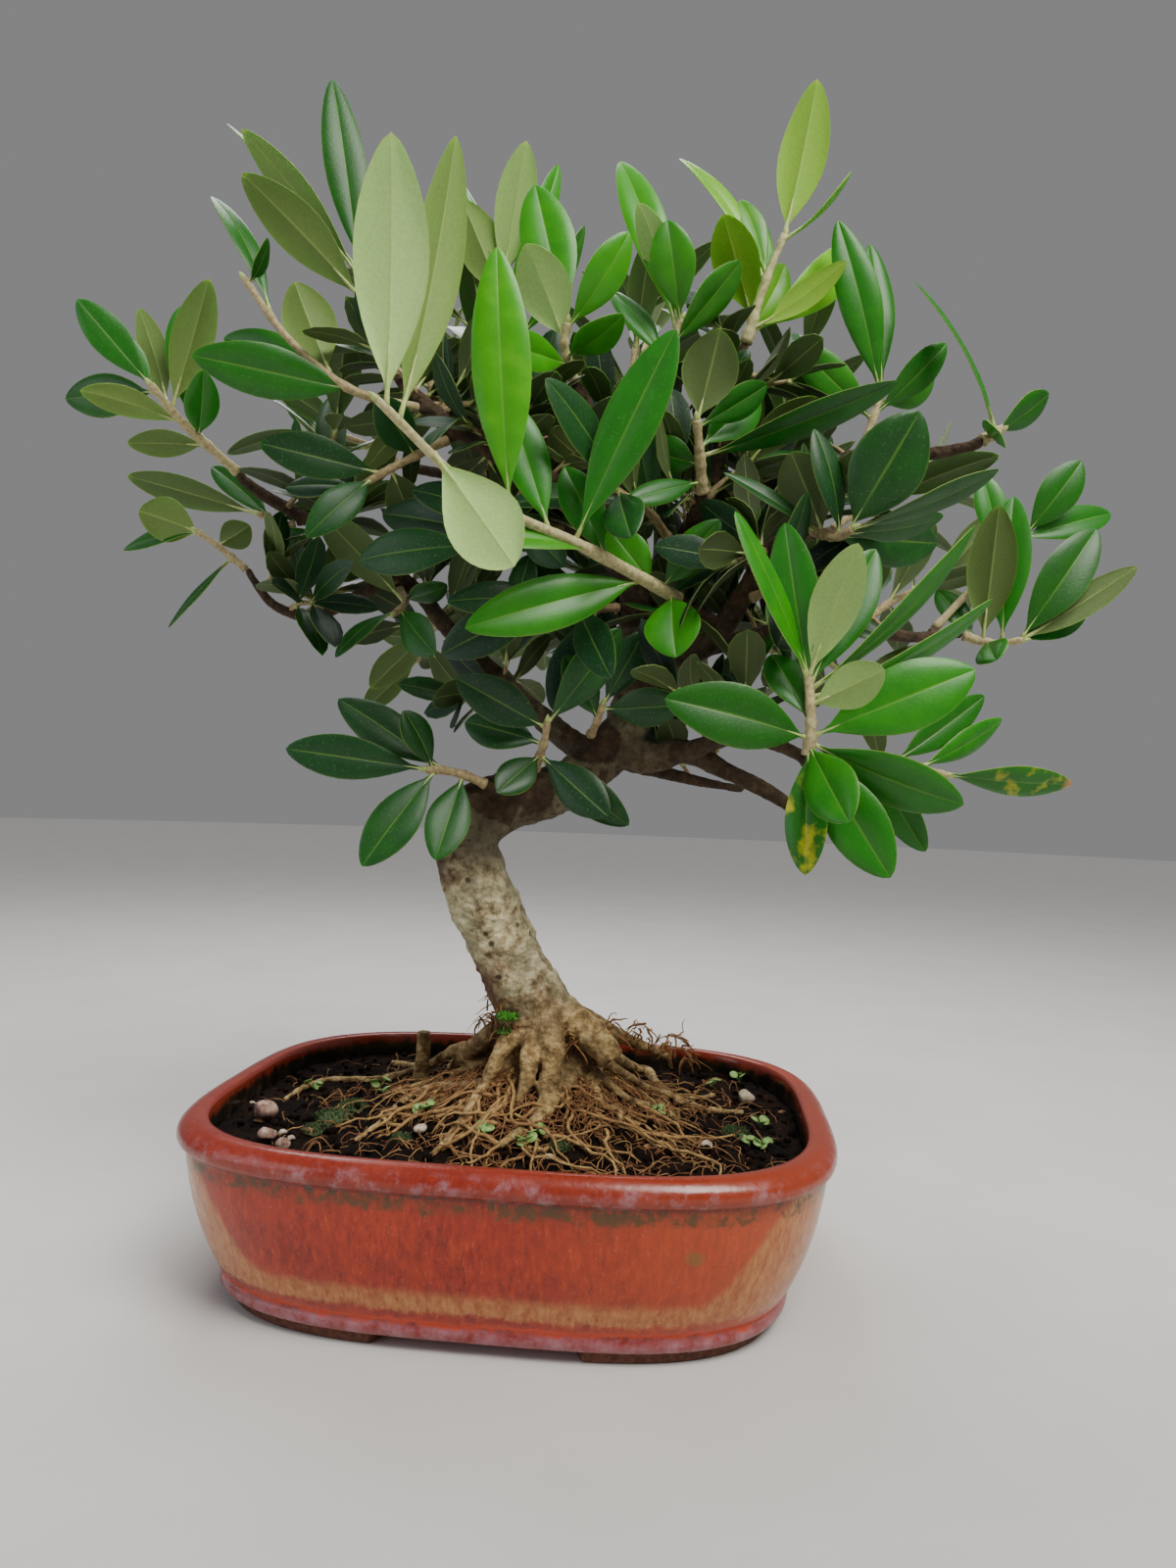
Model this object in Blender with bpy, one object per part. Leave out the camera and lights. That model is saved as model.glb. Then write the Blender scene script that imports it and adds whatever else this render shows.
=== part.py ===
"""Olive bonsai in a glazed stoneware pot, built at its real size.

Run with: blender --background --python part.py, or from the text editor.

All lengths in the tables are millimetres. The pot stands on z = 0 with its middle at x = y = 0 while the
model is made, and at the very end everything is slid so that the middle of the whole object's footprint
box is the origin.
"""

import math
import random

import bmesh
import bpy
from mathutils import Matrix, Vector
from mathutils.bvhtree import BVHTree

MM = 0.001

# Pot: the outline is a rounded rectangle, drawn as a superellipse that shrinks by an inset.
RIM_HALF_LENGTH = 103.5
RIM_HALF_WIDTH = 83.7
SQUARENESS = 3.48
SIDE_LEAN = 0.76
POT_SIDES = 28
BAND_BOTTOM = 3.7
# (inset from the rim's outline, height), from the base band up the outside, over the rim and down inside.
POT_PROFILE = [
    (15.2, 3.7), (13.6, 4.8), (13.4, 7.2), (14.3, 8.3), (13.2, 9.6), (10.4, 15.0), (7.4, 22.5), (4.9, 31.0),
    (3.3, 39.0), (2.6, 45.4), (2.9, 46.8), (0.8, 47.6), (0.0, 49.6), (0.7, 52.0), (3.6, 54.2), (7.0, 54.6),
    (9.0, 52.4), (10.4, 36.0), (16.0, 18.0), (23.0, 11.0),
]
FOOT_TOP = 5.4
FOOT_INSET_TOP = 15.4
FOOT_INSET_BOTTOM = 17.2
FOOT_WALL = 15.0
FRONT_GAP = 51.0
SIDE_GAP = 44.0
DRAIN_RADIUS = 6.0
DRAIN_SPACING = 90.0

# Soil: it fills the pot to a few millimetres under the rim and rises to a mound under the trunk.
SEAT_GAP = 0.35
SOIL_EDGE = 46.0
MOUND_HEIGHT = 20.0
MOUND_SPREAD = 34.0
SOIL_RINGS = 5

# The tree stands here on the soil, and its foot is let into a plain round pocket.
TRUNK_FOOT = (6.0, 1.0)
POCKET_FLOOR = 52.0
POCKET_RADIUS = 15.0
FOOT_RADIUS = 13.6

# Front elevation: the tree is drawn as someone standing in front sees it. A drawn point is (right, up, back):
# right and up on the upright plane through the trunk, and back is how far behind that plane it lies.
EYE = Vector((54.0, -367.0, 156.0))
VIEW_DISTANCE = 367.0
VIEW_TURN = math.radians(5.45)
VIEW_RISE = math.radians(0.6)
VIEW_TILT = math.radians(2.14)

# A shoot's stem, and the gap that parts it from the twig of the wood that carries it.
STEM_SIDES = 4
STEM_POINTS = 4
STEM_GAP = 0.3
SPUR_SIDES = 4
BOUGH_SIDES = 5
TRUNK_SIDES = 8
TRUNK_RINGS = 21

# A leaf: a thin stalk, then a long ellipse that ends in a point. Its section is flat above with a keel below.
LEAF_LEVELS = (0.0, 0.10, 0.36, 0.72, 1.0)
LEAF_THICKNESS = 0.85
STALK_SHARE = 0.09
STALK_HALF_WIDTH = 0.75
LEAF_CLEARANCE = 0.55
LOWEST_LEAF = 2.4
# The finer levels that a leaf is tested at before it takes its place.
TEST_LEVELS = (0.0, 0.1, 0.22, 0.36, 0.54, 0.72, 0.86, 1.0)

# What is in the way of something else is slid by these along the line of sight.
SLIDES = (0, -5, 5, -10, 10, -15, 15, -21, 21, -27, 27, 34)
FILL_TRIES = 14

# The trunk: (right, up, back, radius).
TRUNK = [
    (-16.0, -83.0, 0, 13.6), (-20.0, -73.0, 0, 12.6), (-27.0, -59.0, -2, 11.4), (-34.0, -43.0, -4, 11.6),
    (-40.0, -28.0, -5, 10.8), (-41.0, -16.0, -5, 11.4), (-33.0, -8.0, -3, 10.6), (-21.0, -5.0, 0, 9.0),
    (-8.0, -0.5, 3, 8.6), (4.0, 8.0, 5, 8.2), (12.5, 19.0, 6, 8.0), (16.5, 31.0, 6, 7.4), (17.5, 44.0, 5, 6.8),
    (17.0, 58.0, 4, 6.0), (15.0, 72.0, 3, 5.4), (12.0, 86.0, 2, 4.9), (7.0, 101.0, 1, 4.4), (2.0, 118.0, 0, 3.6),
    (-3.0, 134.0, -8, 2.8),
]

# The boughs, in the same measure.
BOUGHS = {
    "pruned_knob": [(-36, -14, -5, 10.0), (-41, -9, -6, 9.6), (-45, -5, -6, 8.0)],
    "low_right": [(8, 12, 5, 6.4), (22, 9, 4, 5.6), (33, 11, 0, 4.4), (48, 4, -10, 3.0), (62, -3, -18, 2.7),
                  (72, -10, -22, 2.0)],
    "to_rosette": [(31, 10, 0, 3.6), (46, 15, -20, 2.8), (62, 14, -42, 2.3), (72, 10, -53, 1.9)],
    "under_right": [(10, 8, 8, 3.2), (33, 2, 12, 2.2), (53, -2, 16, 1.5)],
    "dark_right": [(16, 34, 6, 4.8), (33, 45, 0, 4.0), (53, 49, -5, 3.4), (70, 53, -6, 3.0), (93, 53, 4, 2.6),
                   (110, 50, 15, 2.2), (125, 51, 22, 1.8)],
    "rough_right": [(18, 42, 5, 4.8), (40, 47, -8, 4.2), (54, 66, -18, 3.6), (62, 80, -25, 2.8), (74, 86, -30, 2.2)],
    "inner_up": [(17, 58, 4, 4.4), (32, 80, 0, 3.8), (39, 96, -12, 3.0)],
    "tall_right": [(30, 77, 0, 3.6), (42, 104, 8, 3.2), (50, 132, 10, 2.6), (53, 147, 9, 2.0)],
    "far_right": [(38, 92, 5, 3.4), (70, 104, 14, 3.0), (92, 112, 14, 2.6), (113, 112, 6, 2.4), (131, 115, 0, 2.0)],
    "left_back": [(2, 8, 6, 5.0), (-20, 26, 20, 4.2), (-46, 51, 36, 3.4), (-62, 69, 46, 3.0), (-92, 88, 52, 2.7),
                  (-110, 98, 42, 2.4), (-118, 104, 32, 2.0)],
    "left_low": [(-66, 71, 46, 2.6), (-82, 62, 48, 2.4), (-94, 57, 46, 2.4), (-107, 61, 43, 2.0),
                 (-115, 71, 41, 1.5)],
    "left_high": [(9, 97, 1, 3.6), (-20, 106, -4, 3.2), (-43, 120, -9, 2.8), (-63, 136, -12, 2.1)],
    "back_low": [(14, 26, 8, 5.0), (16, 38, 34, 4.0), (14, 50, 66, 3.0), (10, 62, 90, 2.2)],
    "back_right": [(17, 50, 6, 4.4), (38, 66, 34, 3.6), (58, 78, 62, 2.8), (82, 86, 74, 2.0)],
    "back_left": [(15, 70, 4, 4.2), (-6, 88, 30, 3.4), (-34, 102, 54, 2.8), (-62, 108, 66, 2.0)],
    "back_high": [(8, 99, 2, 3.4), (12, 114, 28, 2.8), (14, 130, 52, 2.0)],
}

# Leafy shoots that the front view shows. A stem is drawn points, its two radii follow, and each leaf is
# (where along the stem, right, up, back of its tip, width, turn of its upper face away from the viewer in degrees).
SHOOTS = {
    "whip": ([(31, 63, -19), (0, 80, -42), (-27, 92, -58), (-57, 112, -72), (-69, 125, -80), (-72, 131, -82)], 2.1, 1.1, [
        (0.97, -67, 222, -92, 20, 172), (0.93, -45, 221, -70, 15, 168), (0.82, -25, 74, -88, 21, 184),
        (0.58, -31, 183, -66, 17, -6), (0.46, -28, 132, -44, 14, 12), (0.38, 30, 155, -56, 17, -14),
        (0.31, -45, 83, -64, 10, 52), (0.27, -8, 108, -36, 13, 8), (0.13, -42, 53, -50, 17, 14),
        (0.10, 7, 87, -26, 13, 4), (0.07, 45, 90, -28, 12, -8), (0.03, 30, 43, -36, 18, 10)]),
    "rosette": ([(75, 10, -58), (76, 22, -60), (75, 37, -58)], 1.7, 1.0, [
        (0.20, 26, 29, -68, 18, 12), (0.22, 132, 39, -62, 20, -4), (0.16, 128, -7, -66, 16, 24),
        (0.12, 89, -13, -80, 16, 16), (0.14, 103, -32, -70, 17, 8), (0.12, 74, -31, -46, 12, 8),
        (0.40, 62, 44, -46, 12, 24), (0.62, 101, 39, -74, 13, 172), (0.94, 50, 93, -66, 11, 58),
        (0.92, 67, 89, -60, 14, -6), (0.96, 92, 82, -74, 14, 184), (0.85, 98, 80, -48, 15, 4),
        (0.80, 132, 88, -66, 10, 56), (0.70, 138, 63, -60, 9, 52)]),
    "rosette_side": ([(77, 9, -50), (98, 9, -42), (122, 3, -38)], 1.5, 1.0, [
        (0.97, 165, 0, -36, 11, 34), (0.62, 135, 30, -28, 11, 16), (0.80, 141, 22, -24, 9, 30),
        (0.45, 115, -23, -46, 11, 18)]),
    "right_tip": ([(126, 51, 22), (137, 48, 21), (148, 49, 18)], 1.6, 1.0, [
        (0.95, 173, 87, 20, 17, 6), (0.98, 187, 74, 12, 12, 158), (0.90, 170, 60, 28, 13, -8),
        (0.66, 145, 98, 24, 16, -4), (0.34, 140, 95, 8, 17, 176), (0.42, 139, 42, 8, 13, 10),
        (0.20, 119, 66, 32, 11, 30)]),
    "right_upper": ([(118, 53, 22), (136, 72, 32), (150, 86, 38)], 1.5, 1.0, [
        (0.96, 168, 110, 34, 15, 14), (0.70, 134, 106, 36, 12, 20), (0.90, 178, 92, 48, 13, -20)]),
    "dull_leaf": ([(75, 87, -31), (84, 84, -39), (90, 87, -43)], 1.6, 1.1, [
        (0.92, 113, 127, -54, 22, 4), (0.96, 140, 107, -44, 11, 54), (0.80, 121, 91, -28, 10, 34),
        (0.52, 119, 82, -16, 17, 4), (0.30, 69, 113, -36, 17, 172), (0.70, 77, 121, -44, 12, 46),
        (0.18, 46, 106, -32, 8, 60)]),
    "twig_folded": ([(39, 97, -13), (38, 112, -21), (37, 124, -26)], 1.9, 1.2, [
        (0.97, 45, 155, -34, 18, 176), (0.90, 61, 136, -20, 11, 22), (0.62, 58, 133, -6, 15, 4),
        (0.40, 19, 114, -14, 13, -4), (0.16, 13, 96, -24, 9, 26), (0.50, 106, 137, -18, 12, 34)]),
    "tall_tip": ([(53, 148, 9), (60, 170, 6), (67, 187, 4)], 1.9, 1.1, [
        (0.98, 78, 240, 0, 17, 164), (0.93, 90, 209, -5, 12, 84), (0.20, 46, 194, -14, 16, 178),
        (0.24, 57, 194, 14, 13, 6), (0.55, 31, 213, 18, 10, 58), (0.60, 52, 199, 22, 9, 30),
        (0.10, 67, 177, 18, 12, 20), (0.12, 88, 178, 6, 10, 152), (0.08, 92, 183, 30, 16, 18)]),
    "crown_front": ([(-4, 135, -9), (-8, 148, -17), (-7, 157, -20)], 1.8, 1.1, [
        (0.70, -21, 184, -34, 17, 176), (0.90, 14, 188, -26, 13, 18), (0.97, -18, 204, -12, 18, 2),
        (0.45, 12, 160, -36, 12, 30), (0.30, -30, 150, -36, 12, 20)]),
    "crown_mid": ([(17, 122, 0), (26, 144, -6), (32, 158, -8)], 1.7, 1.1, [
        (0.95, 17, 198, -18, 12, 160), (0.97, 27, 192, -8, 15, 2), (0.88, 11, 212, 4, 14, 18),
        (0.60, 8, 168, 2, 11, 40), (0.75, 52, 178, -12, 12, 20)]),
    "crown_left": ([(-12, 124, 4), (-24, 148, 8), (-30, 170, 8)], 1.7, 1.1, [
        (0.88, -43, 199, 4, 16, 178), (0.97, -21, 219, 0, 14, 178), (0.90, -10, 211, 16, 10, 30),
        (0.60, -1, 190, 26, 10, 40), (0.80, -45, 208, 18, 9, 70)]),
    "left_crown": ([(-64, 137, -12), (-75, 156, -13), (-78, 176, -11)], 1.8, 1.1, [
        (0.97, -87, 240, -8, 14, 8), (0.90, -118, 223, -18, 12, 150), (0.70, -118, 208, -34, 16, 168),
        (0.95, -123, 225, -2, 11, 86), (0.55, -52, 190, 4, 14, 10)]),
    "left_twig": ([(-58, 128, -14), (-84, 136, -28), (-108, 158, -34), (-117, 172, -34)], 1.5, 1.0, [
        (0.97, -109, 186, -36, 8, 58), (0.45, -100, 171, -26, 17, 184), (0.30, -135, 146, -44, 16, 4),
        (0.36, -124, 152, -22, 14, 10), (0.80, -128, 200, -30, 9, 40)]),
    "left_tip": ([(-118, 105, 31), (-127, 113, 22), (-139, 124, 12), (-149, 136, 4)], 1.8, 1.2, [
        (0.97, -174, 165, -2, 13, 2), (0.75, -129, 172, -8, 14, 176), (0.93, -178, 131, 16, 15, 12),
        (0.60, -173, 134, -4, 11, 156), (0.50, -138, 163, 18, 15, 4), (0.45, -131, 141, 0, 12, 12),
        (0.35, -157, 116, 16, 10, 168), (0.95, -162, 154, 22, 9, 20), (0.80, -153, 162, 28, 11, 160)]),
    "low_left_tip": ([(-115, 72, 41), (-126, 81, 38), (-133, 86, 36)], 1.4, 1.0, [
        (0.95, -153, 93, 34, 17, 168), (0.60, -115, 88, 46, 12, 170), (0.30, -143, 53, 30, 9, 74),
        (0.97, -158, 80, 46, 11, 56)]),
    "left_hanging": ([(-96, 89, 52), (-104, 88, 50), (-112, 92, 48)], 1.4, 1.0, [
        (0.30, -96, 77, 46, 14, 10), (0.95, -157, 105, 52, 12, 170), (0.60, -128, 108, 56, 11, 20),
        (0.70, -82, 97, 40, 10, 176)]),
    "left_under": ([(-64, 66, 40), (-62, 62, 32), (-66, 58, 24)], 1.4, 1.0, [
        (0.50, -92, 93, 34, 15, 174), (0.90, -86, 43, 18, 11, 62), (0.80, -52, 44, 14, 14, 20),
        (0.40, -48, 68, 26, 11, 40)]),
    "low_shoot": ([(-35, 0, -13), (-45, 4, -18), (-55, 5, -22)], 1.6, 1.1, [
        (0.97, -103, 12, -30, 14, 2), (0.85, -77, -28, -36, 15, 12), (0.40, -52, -26, -32, 14, 4),
        (0.72, -85, 29, -10, 15, 22), (0.90, -63, 25, -28, 11, 30)]),
    "trunk_shoot": ([(-18, 5, -10), (-15, 14, -18), (-14, 21, -20)], 1.5, 1.0, [
        (0.90, -45, 36, -30, 14, 4), (0.60, -42, 21, -16, 14, 20), (0.97, 11, 53, -24, 14, 20),
        (0.36, 7, -11, -28, 14, 4), (0.30, 14, -14, -18, 13, 12), (0.34, -31, -3, -28, 12, 14)]),
    "trunk_shoot_right": ([(1, 17, -5), (3, 21, -12), (5, 27, -15)], 1.5, 1.0, [
        (0.97, 19, 52, -18, 12, 10), (0.90, 32, 27, -24, 13, 10), (0.60, -8, 44, -20, 12, 20)]),
    "hanging_dark": ([(10, 60, -4), (-4, 60, -14), (-14, 62, -18)], 1.5, 1.0, [
        (0.30, -12, 25, -22, 15, 2), (0.95, -50, 44, -14, 16, 22), (0.80, -48, 62, -24, 13, 30),
        (0.60, 8, 36, -28, 13, 10)]),
    "under_whip": ([(-20, 103, -8), (-28, 90, -22), (-36, 80, -30)], 1.5, 1.0, [
        (0.95, -78, 76, -20, 15, 20), (0.60, -60, 100, -24, 13, 30), (0.80, -70, 92, -8, 14, 10),
        (0.40, -8, 74, -26, 13, 16)]),
    "left_mid": ([(-46, 118, -8), (-66, 108, -14), (-80, 100, -14)], 1.5, 1.0, [
        (0.95, -103, 101, -6, 11, 50), (0.70, -112, 116, -26, 14, 10), (0.60, -58, 86, -2, 13, 172),
        (0.80, -96, 84, -30, 12, 14), (0.35, -72, 132, -36, 13, 8)]),
    "cut_right": ([(131, 115, 0), (136, 118, -2), (141, 121, -4)], 1.9, 1.5, [
        (0.60, 157, 133, 2, 12, 40), (0.40, 140, 120, -14, 12, 20), (0.70, 110, 172, 6, 9, 78)]),
    "right_spears": ([(93, 113, 14), (97, 124, 14), (100, 134, 16)], 1.7, 1.1, [
        (0.90, 85, 192, 8, 15, 14), (0.97, 96, 184, 22, 13, 30), (0.60, 122, 150, 12, 12, 20),
        (0.50, 70, 150, 6, 14, 10), (0.75, 118, 138, 30, 13, 24)]),
}

# Shoots that fill the crown, mostly behind: (start, end, pairs of leaves, leaf length, leaf width).
FILLERS = [
    ((12, 118, 30), (18, 160, 46), 3, 44, 13), ((-24, 112, 32), (-40, 156, 44), 3, 44, 13),
    ((-50, 122, 8), (-62, 160, 26), 3, 42, 13), ((60, 104, 20), (74, 146, 36), 3, 44, 13),
    ((14, 130, 54), (20, 150, 84), 3, 42, 13), ((-34, 104, 58), (-46, 134, 82), 3, 42, 13),
    ((58, 80, 64), (64, 116, 84), 3, 42, 13), ((82, 86, 76), (112, 100, 84), 3, 42, 13),
    ((-62, 108, 68), (-92, 120, 82), 3, 42, 12), ((10, 62, 92), (4, 84, 122), 3, 42, 13),
    ((0, 92, 40), (-8, 108, 104), 3, 40, 12), ((40, 66, 38), (70, 60, 96), 3, 40, 13),
    ((92, 54, 6), (120, 68, 50), 3, 40, 12), ((60, 50, 0), (92, 34, 34), 3, 38, 12),
    ((12, 52, 70), (-24, 50, 104), 3, 38, 12), ((-50, 56, 40), (-58, 42, 82), 3, 36, 12),
    ((30, 80, 0), (10, 100, -34), 3, 38, 13), ((34, 88, -4), (54, 108, -28), 2, 38, 13),
    ((52, 62, -16), (70, 62, -38), 2, 36, 13), ((-90, 90, 50), (-86, 120, 24), 3, 38, 12),
]

# Surface roots of the front elevation: the two radii, then points. A point with (right, up) alone lies on the
# soil, and one with a third number lies that far back.
ROOTS = [
    (2.6, 1.2, [(-18, -86, 2), (-28.7, -88, 10), (-43.7, -90, 22), (-50.3, -93.3, 34), (-58, -97.3), (-66.7, -95.7)]),
    (2.2, 1.0, [(-14, -86, -6), (-24, -93, -6), (-32.7, -101.7), (-36, -105), (-41.7, -113.7), (-53, -127)]),
    (1.6, 0.9, [(-34, -103), (-44.3, -104.3), (-51.7, -103.7), (-58.7, -106.3), (-66.7, -112.3), (-79.3, -122.3)]),
    (2.4, 1.3, [(-8, -88, -6), (-5.3, -100), (-10.3, -107.7), (-15, -113.7), (-24.7, -120.7), (-30.7, -124.7)]),
    (2.2, 1.2, [(-9, -90, -7), (-7.3, -98.7), (-13, -106), (-19, -114.3)]),
    (1.6, 1.0, [(-3, -90, -6), (-1.3, -100), (3.3, -106.3), (5.3, -111), (10.3, -112.3), (11, -118.3)]),
    (2.4, 1.4, [(-10, -87, -6), (0, -98), (5.3, -102), (8.3, -105)]),
    (2.8, 1.0, [(-2, -88, -2), (18, -98), (28.3, -106.7), (43.3, -106.7), (60, -108.3)]),
    (2.2, 0.9, [(-2, -90, -4), (24, -106), (40, -111.7), (53.3, -112.7), (66.7, -113.3), (72.7, -118.7)]),
    (1.8, 1.0, [(-4, -92, -6), (16.7, -110), (25, -109.3), (27.7, -113.3), (32.7, -117.3)]),
    (1.5, 0.9, [(-58, -98), (-71, -101.5), (-80, -101.7), (-90, -101.7), (-98.3, -105), (-103.3, -108.3)]),
    (6.2, 4.0, [(-11, -77, -1), (-3, -82, -7), (4.5, -89, -10), (8, -94, -11)]),
    (3.6, 1.2, [(-10, -76, 2), (0, -80, 5), (8, -84.5, 8), (16, -88, 13), (28, -93, 22), (42, -99)]),
    (4.6, 2.4, [(-16, -79, -4), (-13.3, -84, -12), (-11.7, -91, -17), (-13, -101, -20), (-17, -108)]),
    (3.6, 1.6, [(-20, -80, -6), (-27, -87, -11), (-32, -96, -14), (-36, -104)]),
    (3.4, 1.6, [(-22, -77, 2), (-31, -83, 4), (-38, -89, 6), (-47, -97)]),
    (3.4, 1.6, [(-18, -82, -7), (-20, -91, -16), (-21, -101, -20), (-25, -110)]),
]
# Roots that leave behind: (bearing in degrees, reach, radius). 0 points right and 90 to the back.
BACK_ROOTS = [(24, 44, 2.6), (62, 40, 2.4), (100, 44, 2.8), (136, 44, 2.4), (166, 46, 2.6)]
# A pruned root that stands out of the soil at the left: (right, up, back, radius).
ROOT_STUMP = [(-57, -108, 34, 3.4), (-57, -99, 30, 3.2), (-56, -91, 28, 3.0), (-56, -84, 27, 2.8)]
ROOT_POINTS = 5
ROOT_SIDES = 4
ROOT_MARGIN = 16.0

# Loose pebbles on the soil: (x, y, width).
PEBBLES = [(-80, -27, 9), (-72, -44, 6), (-64, -52, 5), (78, 30, 6.5), (63, -28, 4.5)]


def metres(point):
    return Vector(point) * MM


def new_collection(name):
    made = bpy.data.collections.new(name)
    bpy.context.scene.collection.children.link(made)
    return made


def finish(name, colour, roughness):
    """A plain material: the part's colour and roughness."""
    made = bpy.data.materials.new(name)
    made.use_nodes = True
    shader = made.node_tree.nodes["Principled BSDF"]
    shader.inputs["Base Color"].default_value = (*colour, 1.0)
    shader.inputs["Roughness"].default_value = roughness
    made.diffuse_color = (*colour, 1.0)
    return made


def object_from(bm, name, collection, material=None):
    mesh = bpy.data.meshes.new(name)
    bm.to_mesh(mesh)
    bm.free()
    made = bpy.data.objects.new(name, mesh)
    collection.objects.link(made)
    if material:
        mesh.materials.append(material)
    return made


def swept(sides, levels, place):
    """A closed tube as a bmesh: a cylinder whose walls are cut into levels, each point put by place(level, turn)."""
    bm = bmesh.new()
    bmesh.ops.create_cone(bm, cap_ends=True, segments=sides, radius1=1, radius2=1, depth=1)
    walls = [e for e in bm.edges if abs(e.verts[0].co.z - e.verts[1].co.z) > 0.5]
    if levels > 2:
        bmesh.ops.subdivide_edges(bm, edges=walls, cuts=levels - 2, use_grid_fill=True)
    for v in bm.verts:
        level = round((v.co.z + 0.5) * (levels - 1))
        turn = round(math.atan2(v.co.y, v.co.x) / math.tau * sides) * math.tau / sides
        v.co = metres(place(level, turn))
    bmesh.ops.remove_doubles(bm, verts=bm.verts, dist=1e-6)
    bmesh.ops.recalc_face_normals(bm, faces=bm.faces)
    return bm


def superellipse(inset, turn):
    """The pot's outline, inset from the rim, at an angle."""
    c, s = math.cos(turn), math.sin(turn)
    x = (RIM_HALF_LENGTH - inset) * math.copysign(abs(c) ** (2 / SQUARENESS), c)
    y = (RIM_HALF_WIDTH - inset * SIDE_LEAN) * math.copysign(abs(s) ** (2 / SQUARENESS), s)
    return x, y


def box_cutter(name, size, centre, collection):
    bm = bmesh.new()
    bmesh.ops.create_cube(bm, size=1)
    bmesh.ops.scale(bm, vec=metres(size), verts=bm.verts)
    bmesh.ops.translate(bm, vec=metres(centre), verts=bm.verts)
    return helper(object_from(bm, name, collection))


def rod_cutter(name, radius, low, high, centre, collection):
    bm = bmesh.new()
    bmesh.ops.create_cone(bm, cap_ends=True, segments=20, radius1=radius * MM, radius2=radius * MM,
                          depth=(high - low) * MM)
    bmesh.ops.translate(bm, vec=metres((*centre, (high + low) / 2)), verts=bm.verts)
    return helper(object_from(bm, name, collection))


def helper(obj):
    """A cutter: left out of the render and drawn as wires."""
    obj.hide_render = True
    obj.display_type = "WIRE"
    return obj


def boolean(obj, other, operation, solver="EXACT"):
    modifier = obj.modifiers.new(operation.lower(), "BOOLEAN")
    modifier.operation = operation
    modifier.solver = solver
    if isinstance(other, bpy.types.Collection):
        modifier.operand_type = "COLLECTION"
        modifier.collection = other
    else:
        modifier.object = other
    return modifier


def settle_modifiers(obj):
    """Applies the modifiers, so that the objects they name can go."""
    graph = bpy.context.evaluated_depsgraph_get()
    mesh = bpy.data.meshes.new_from_object(obj.evaluated_get(graph))
    obj.modifiers.clear()
    old = obj.data
    obj.data = mesh
    bpy.data.meshes.remove(old)


def keep_outside(mesh):
    """Fills the tiny pockets that crossing limbs can shut in: only the largest island of faces stays."""
    bm = bmesh.new()
    bm.from_mesh(mesh)
    unseen = set(bm.faces)
    islands = []
    while unseen:
        island = {unseen.pop()}
        edge = list(island)
        while edge:
            near = {f for e in edge.pop().edges for f in e.link_faces} & unseen
            unseen -= near
            island |= near
            edge.extend(near)
        islands.append(island)
    largest = max(islands, key=len)
    bmesh.ops.delete(bm, geom=[f for island in islands if island is not largest for f in island], context="FACES")
    bm.to_mesh(mesh)
    bm.free()


def fuse(name, shapes, collection, material):
    """One solid from many bmesh shapes, joined by one Boolean union on their collection."""
    pieces = new_collection(name + "_pieces")
    first = object_from(shapes[0], name, collection, material)
    for i, shape in enumerate(shapes[1:]):
        object_from(shape, f"{name}_{i}", pieces, material)
    boolean(first, pieces, "UNION", "MANIFOLD")
    settle_modifiers(first)
    keep_outside(first.data)
    for piece in list(pieces.objects):
        bpy.data.objects.remove(piece)
    bpy.data.collections.remove(pieces)
    return first


def make_pot(collection, cutters, glaze):
    def wall(level, turn):
        inset, height = POT_PROFILE[level]
        return (*superellipse(inset, turn), height)

    def foot_ring(level, turn):
        inset = (FOOT_INSET_BOTTOM, FOOT_INSET_TOP)[level]
        return (*superellipse(inset, turn), FOOT_TOP * level)

    def under_hollow(level, turn):
        return (*superellipse(FOOT_INSET_TOP + FOOT_WALL, turn), (-2.0, BAND_BOTTOM + 0.5)[level])

    shell = object_from(swept(POT_SIDES, len(POT_PROFILE), wall), "pot", collection, glaze)
    feet = object_from(swept(POT_SIDES, 2, foot_ring), "foot_ring", cutters)
    hollow = helper(object_from(swept(POT_SIDES, 2, under_hollow), "under_hollow", cutters))
    height = BAND_BOTTOM + 2.5
    middle = (0, 0, height / 2 - 2.0)
    along = box_cutter("gap_front", (FRONT_GAP, 2 * RIM_HALF_WIDTH, height), middle, cutters)
    across = box_cutter("gap_side", (2 * RIM_HALF_LENGTH, SIDE_GAP, height), middle, cutters)
    for cutter in (hollow, along, across):
        boolean(feet, cutter, "DIFFERENCE")
    settle_modifiers(feet)
    boolean(shell, feet, "UNION")
    for side in (-1, 1):
        drain = rod_cutter(f"drain_{side}", DRAIN_RADIUS, -2, 16, (side * DRAIN_SPACING / 2, 0), cutters)
        boolean(shell, drain, "DIFFERENCE")
    settle_modifiers(shell)
    return shell


def soil_height(x, y):
    """The soil's surface: nearly level, with a mound under the tree."""
    away = math.hypot(x - TRUNK_FOOT[0], y - TRUNK_FOOT[1])
    ripple = 0.6 * math.sin(x / 9.0) * math.cos(y / 8.0)
    return SOIL_EDGE + MOUND_HEIGHT * math.exp(-((away / MOUND_SPREAD) ** 2)) + ripple


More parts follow.
